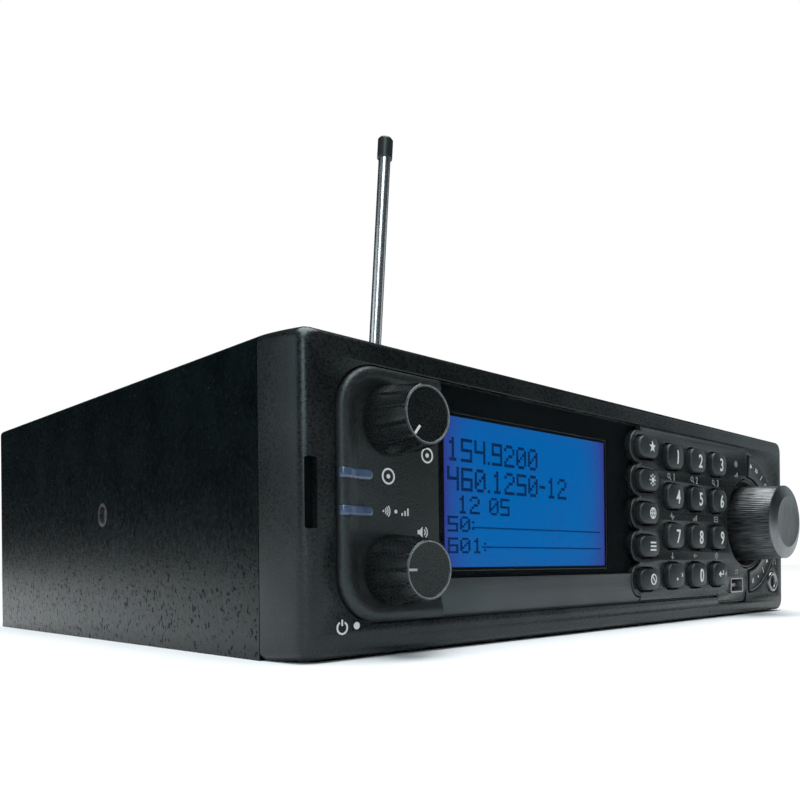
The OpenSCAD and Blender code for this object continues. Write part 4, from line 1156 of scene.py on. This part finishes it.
def panel_legends():
    """Icons printed on the controls panel, round the keys and by the sockets."""
    bm = bmesh.new()
    floor = RIM_PROFILE[-1][1]
    lower, upper = bar_heights()
    icon(bm, "ring", -73.9, upper + 0.1, 2.05, low=floor)
    icon(bm, "ring", -64.8, 35.55, 2.05, low=floor)
    for i, name in enumerate(("waves", "point", "levels")):
        icon(bm, name, -74.4 + i * 2.1, lower + 0.25, 0.95, low=floor)
    icon(bm, "speaker", -66.0, 21.6, 1.3, low=floor)
    icon(bm, "power", -83.8, 5.5, 1.35, low=-0.02)
    icon(bm, "point", -80.85, 5.7, 1.75, low=-0.02)
    piece("panel_legends", bm, "case", "legend", sharp=60)
    bm = bmesh.new()
    rows = (("lens", "lens", "lens"), ("pulse", "levels", "screen"), ("down", "back", "diamond"))
    for j, names in enumerate(rows):
        for i, name in enumerate(names):
            at = middle(DIGITS[3 * j + i])
            y = (at.y + middle(DIGITS[3 * j + 3 + i]).y) / 2
            if name == "lens":
                icon(bm, name, at.x - 1.2, y, 1.05, low=ISLAND)
                digit(bm, str(i + 1), at.x + 1.2, y, 1.9, 0.04, low=ISLAND)
            else:
                icon(bm, name, at.x, y, 1.1, low=ISLAND)
    icon(bm, "press", 57.0, 44.4, 1.0, low=ISLAND)
    icon(bm, "levels", 57.0, 41.3, 1.0, low=ISLAND)
    icon(bm, "swap", USB.x, 12.9, 1.0, low=ISLAND)
    icon(bm, "phones", 84.0, 15.6, 1.2, low=-0.02)
    piece("keypad_legends", bm, "case", "faint_legend", sharp=60)


panel_legends()

# ---- round controls ----

KNOB_RIBS = 12
POINTERS = {"volume": 180, "squelch": 230}


def round_knob(body):
    """Tapered knob with narrow ribs, a thin light grey ring round the face's edge that paints its
    highlight, and a pointer on its face.
    """
    node = body + "_knob"
    centre = middle(node)
    base = (area(node)[1] - area(node)[0]) / 2
    face = base - 1.1
    reach = (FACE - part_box(node)[0].y) / MM
    pointer = math.radians(POINTERS[body])
    spacing = 2 * math.pi / KNOB_RIBS

    def rib_lift(a, height):
        off = abs(((a - pointer) / spacing) % 1.0 - 0.5)
        fade = min(1.0, max(0.0, (height - 1.6) / 3.4))
        rib = math.exp(-((off - 0.5) / 0.06) ** 2)
        return fade * (0.34 * rib - 0.18)

    bm = bmesh.new()
    profile = [(3.02, 0.6), (base - 0.25, 0.6), (base, 0.85), (base - 0.02, 1.4)]
    steps = 10
    for i in range(1, steps + 1):
        share = i / steps
        profile.append((base - 0.05 - (base - face - 0.05) * share, 1.4 + (reach - 1.75) * share))
    body_end = len(profile)
    profile += [(face - 0.04, reach - 0.14), (face - 0.16, reach - 0.02), (face - 0.34, reach),
                (face - 0.46, reach - 0.06), (face - 0.56, reach - 0.18), (face * 0.5, reach - 0.24),
                (0.0, reach - 0.25)]
    last = profile[body_end - 1][1]
    lathe(bm, profile, centre, KNOB_RIBS * 24,
          lambda a, h: rib_lift(a, h) if 1.4 < h <= last + 0.01 else 0.0)
    lathe(bm, [(3.02, 0.6), (3.02, 8.8), (0.0, 8.8)], centre, 32)
    piece(body + "_knob_body", bm, body, "knob_plastic", [node], sharp=38)
    # Light grey ring round the face's edge: a painted highlight for the bright line that light draws there.
    bm = bmesh.new()
    rim = [(face - 0.2, reach - 0.05), (face - 0.24, reach + 0.03), (face - 0.32, reach + 0.05),
           (face - 0.4, reach + 0.03), (face - 0.44, reach - 0.05), (face - 0.2, reach - 0.05)]
    lathe(bm, rim, centre, 96)
    piece(body + "_knob_painted_highlight_rim", bm, body, "knob_rim_painted_highlight")
    bm = bmesh.new()
    along = Vector((math.cos(pointer), math.sin(pointer)))
    solid(bm, [stroke([centre + along * (face - 2.3), centre + along * (face - 0.5)], 0.42)],
          [(0.0, reach - 0.3), (0.0, reach - 0.1), (0.05, reach - 0.06)])
    piece(body + "_pointer", bm, body, "faint_legend" if body == "volume" else "legend", sharp=60)


def scroll_dial():
    node = "scroll_dial"
    base = (area(node)[1] - area(node)[0]) / 2
    rim = base - 0.6
    reach = (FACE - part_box(node)[0].y) / MM - 1.0
    ribs = 110

    def knurl(a, height):
        fade = min(1.0, max(0.0, (height + 0.6) / 0.8), max(0.0, (reach - 0.35 - height) / 0.5))
        wander = 0.5 + 0.5 * math.sin(7 * a + 1.3) * math.sin(3 * a)
        return -0.1 * fade * (0.6 + 0.4 * wander) * (0.5 - 0.5 * math.cos(ribs * a))

    bm = bmesh.new()
    profile = [(4.6, -1.2), (4.6, reach - 1.5), (base - 2.2, reach - 1.5), (base - 2.2, -1.2),
               (base - 0.2, -1.2), (base, -1.0)]
    for i in range(9):
        share = i / 8
        profile.append((base - (base - rim) * share, -0.9 + (reach - 0.2 + 0.7) * share))
    profile += [(rim - 0.2, reach - 0.2), (rim - 0.2, reach - 1.2), (0.0, reach - 1.5)]
    lathe(bm, profile, DIAL, ribs * 6, lambda a, h: knurl(a, h) if -0.95 < h < reach - 0.15 else 0.0)
    lathe(bm, [(4.6, -1.2), (3.02, -1.2), (3.02, 9.7), (0.0, 9.7)], DIAL, ribs * 6)
    piece("dial_shell", bm, "scroll_dial", "dial_metal", [node], sharp=30)
    bm = bmesh.new()
    flat = rim - 3.2
    profile = [(0.0, reach - 1.1), (rim - 0.25, reach - 1.1), (rim - 0.25, reach - 0.3),
               (rim + 0.04, reach - 0.22), (rim + 0.06, reach - 0.1), (rim - 0.04, reach),
               (rim - 0.2, reach + 0.06), (flat + 0.2, reach + 0.94), (flat, reach + 1.0),
               (flat - 0.2, reach + 0.97), (3.5, reach + 0.93), (0.0, reach + 0.92)]
    lathe(bm, profile, DIAL, 128)
    piece("dial_cap", bm, "scroll_dial", "dial_cap", sharp=20)


for control in POINTERS:
    round_knob(control)
scroll_dial()

# ---- sockets on the front ----


def phone_ring():
    bm = bmesh.new()
    profile = [(3.2, -4.0), (3.2, 0.2), (3.08, 0.4), (2.85, 0.5), (2.35, 0.5), (2.1, 0.42),
               (1.9, 0.2), (1.78, -0.2), (1.78, -12.5), (3.7, -12.5), (3.7, -4.0), (3.2, -4.0)]
    lathe(bm, profile, PHONE, 48)
    lathe(bm, [(1.78, -12.5), (0.0, -12.5)], PHONE, 48)
    piece("phone_ring", bm, "case", "jack_metal", ["headphone_jack"])


phone_ring()

# ---- light, floor and background ----


def soft_light(name, place, target, size, power, colour=(1.0, 1.0, 1.0)):
    data = bpy.data.lights.new(name, "AREA")
    data.shape = "RECTANGLE"
    data.size, data.size_y = size
    data.energy = power
    data.color = colour
    made = bpy.data.objects.new(name, data)
    made.location = place
    made.rotation_mode = "QUATERNION"
    made.rotation_quaternion = (Vector(target) - Vector(place)).to_track_quat("-Z", "Y")
    bpy.context.scene.collection.objects.link(made)


def studio():
    floor = bmesh.new()
    bmesh.ops.create_circle(floor, cap_ends=True, segments=96, radius=6.0)
    mesh = bpy.data.meshes.new("floor")
    floor.to_mesh(mesh)
    floor.free()
    paint = Paint("floor_paint", Base_Color=(0.86, 0.87, 0.88, 1.0))
    paint.feed("Roughness", paint.between(paint.noise(0.05), 0.3, 0.7, 0.75, 0.9))
    mesh.materials.append(paint.material)
    ground = bpy.data.objects.new("floor", mesh)
    bpy.context.scene.collection.objects.link(ground)
    sun = bpy.data.lights.new("sky_light", "SUN")
    sun.energy = 3.6
    sun.angle = math.radians(50)
    high = bpy.data.objects.new("sky_light", sun)
    bpy.context.scene.collection.objects.link(high)
    target = (0.0, -0.07, 0.03)
    cool = (0.88, 1.0, 1.05)
    soft_light("key_light", (-0.4, -0.45, 0.8), target, (0.4, 0.4), 3.0, cool)
    soft_light("edge_light", (-0.8, -0.75, 0.42), target, (0.3, 0.5), 2.6, cool)
    soft_light("front_light", (0.55, -1.0, 0.45), target, (1.0, 0.7), 0.06, cool)
    soft_light("left_light", (-1.0, 0.35, 0.4), target, (0.8, 0.6), 1.4, cool)
    soft_light("right_light", (1.2, -0.35, 0.35), target, (0.6, 0.6), 0.7, cool)
    world = bpy.data.worlds.new("studio")
    world.use_nodes = True
    nodes, links = world.node_tree.nodes, world.node_tree.links
    seen = nodes["Background"]
    seen.inputs["Color"].default_value = (1.0, 1.0, 1.0, 1.0)
    dim = nodes.new("ShaderNodeBackground")
    dim.inputs["Color"].default_value = (0.011, 0.015, 0.017, 1.0)
    path = nodes.new("ShaderNodeLightPath")
    mix = nodes.new("ShaderNodeMixShader")
    links.new(path.outputs["Is Camera Ray"], mix.inputs[0])
    links.new(dim.outputs[0], mix.inputs[1])
    links.new(seen.outputs[0], mix.inputs[2])
    links.new(mix.outputs[0], nodes["World Output"].inputs["Surface"])
    bpy.context.scene.world = world
    bpy.context.scene.view_settings.view_transform = "Standard"


studio()
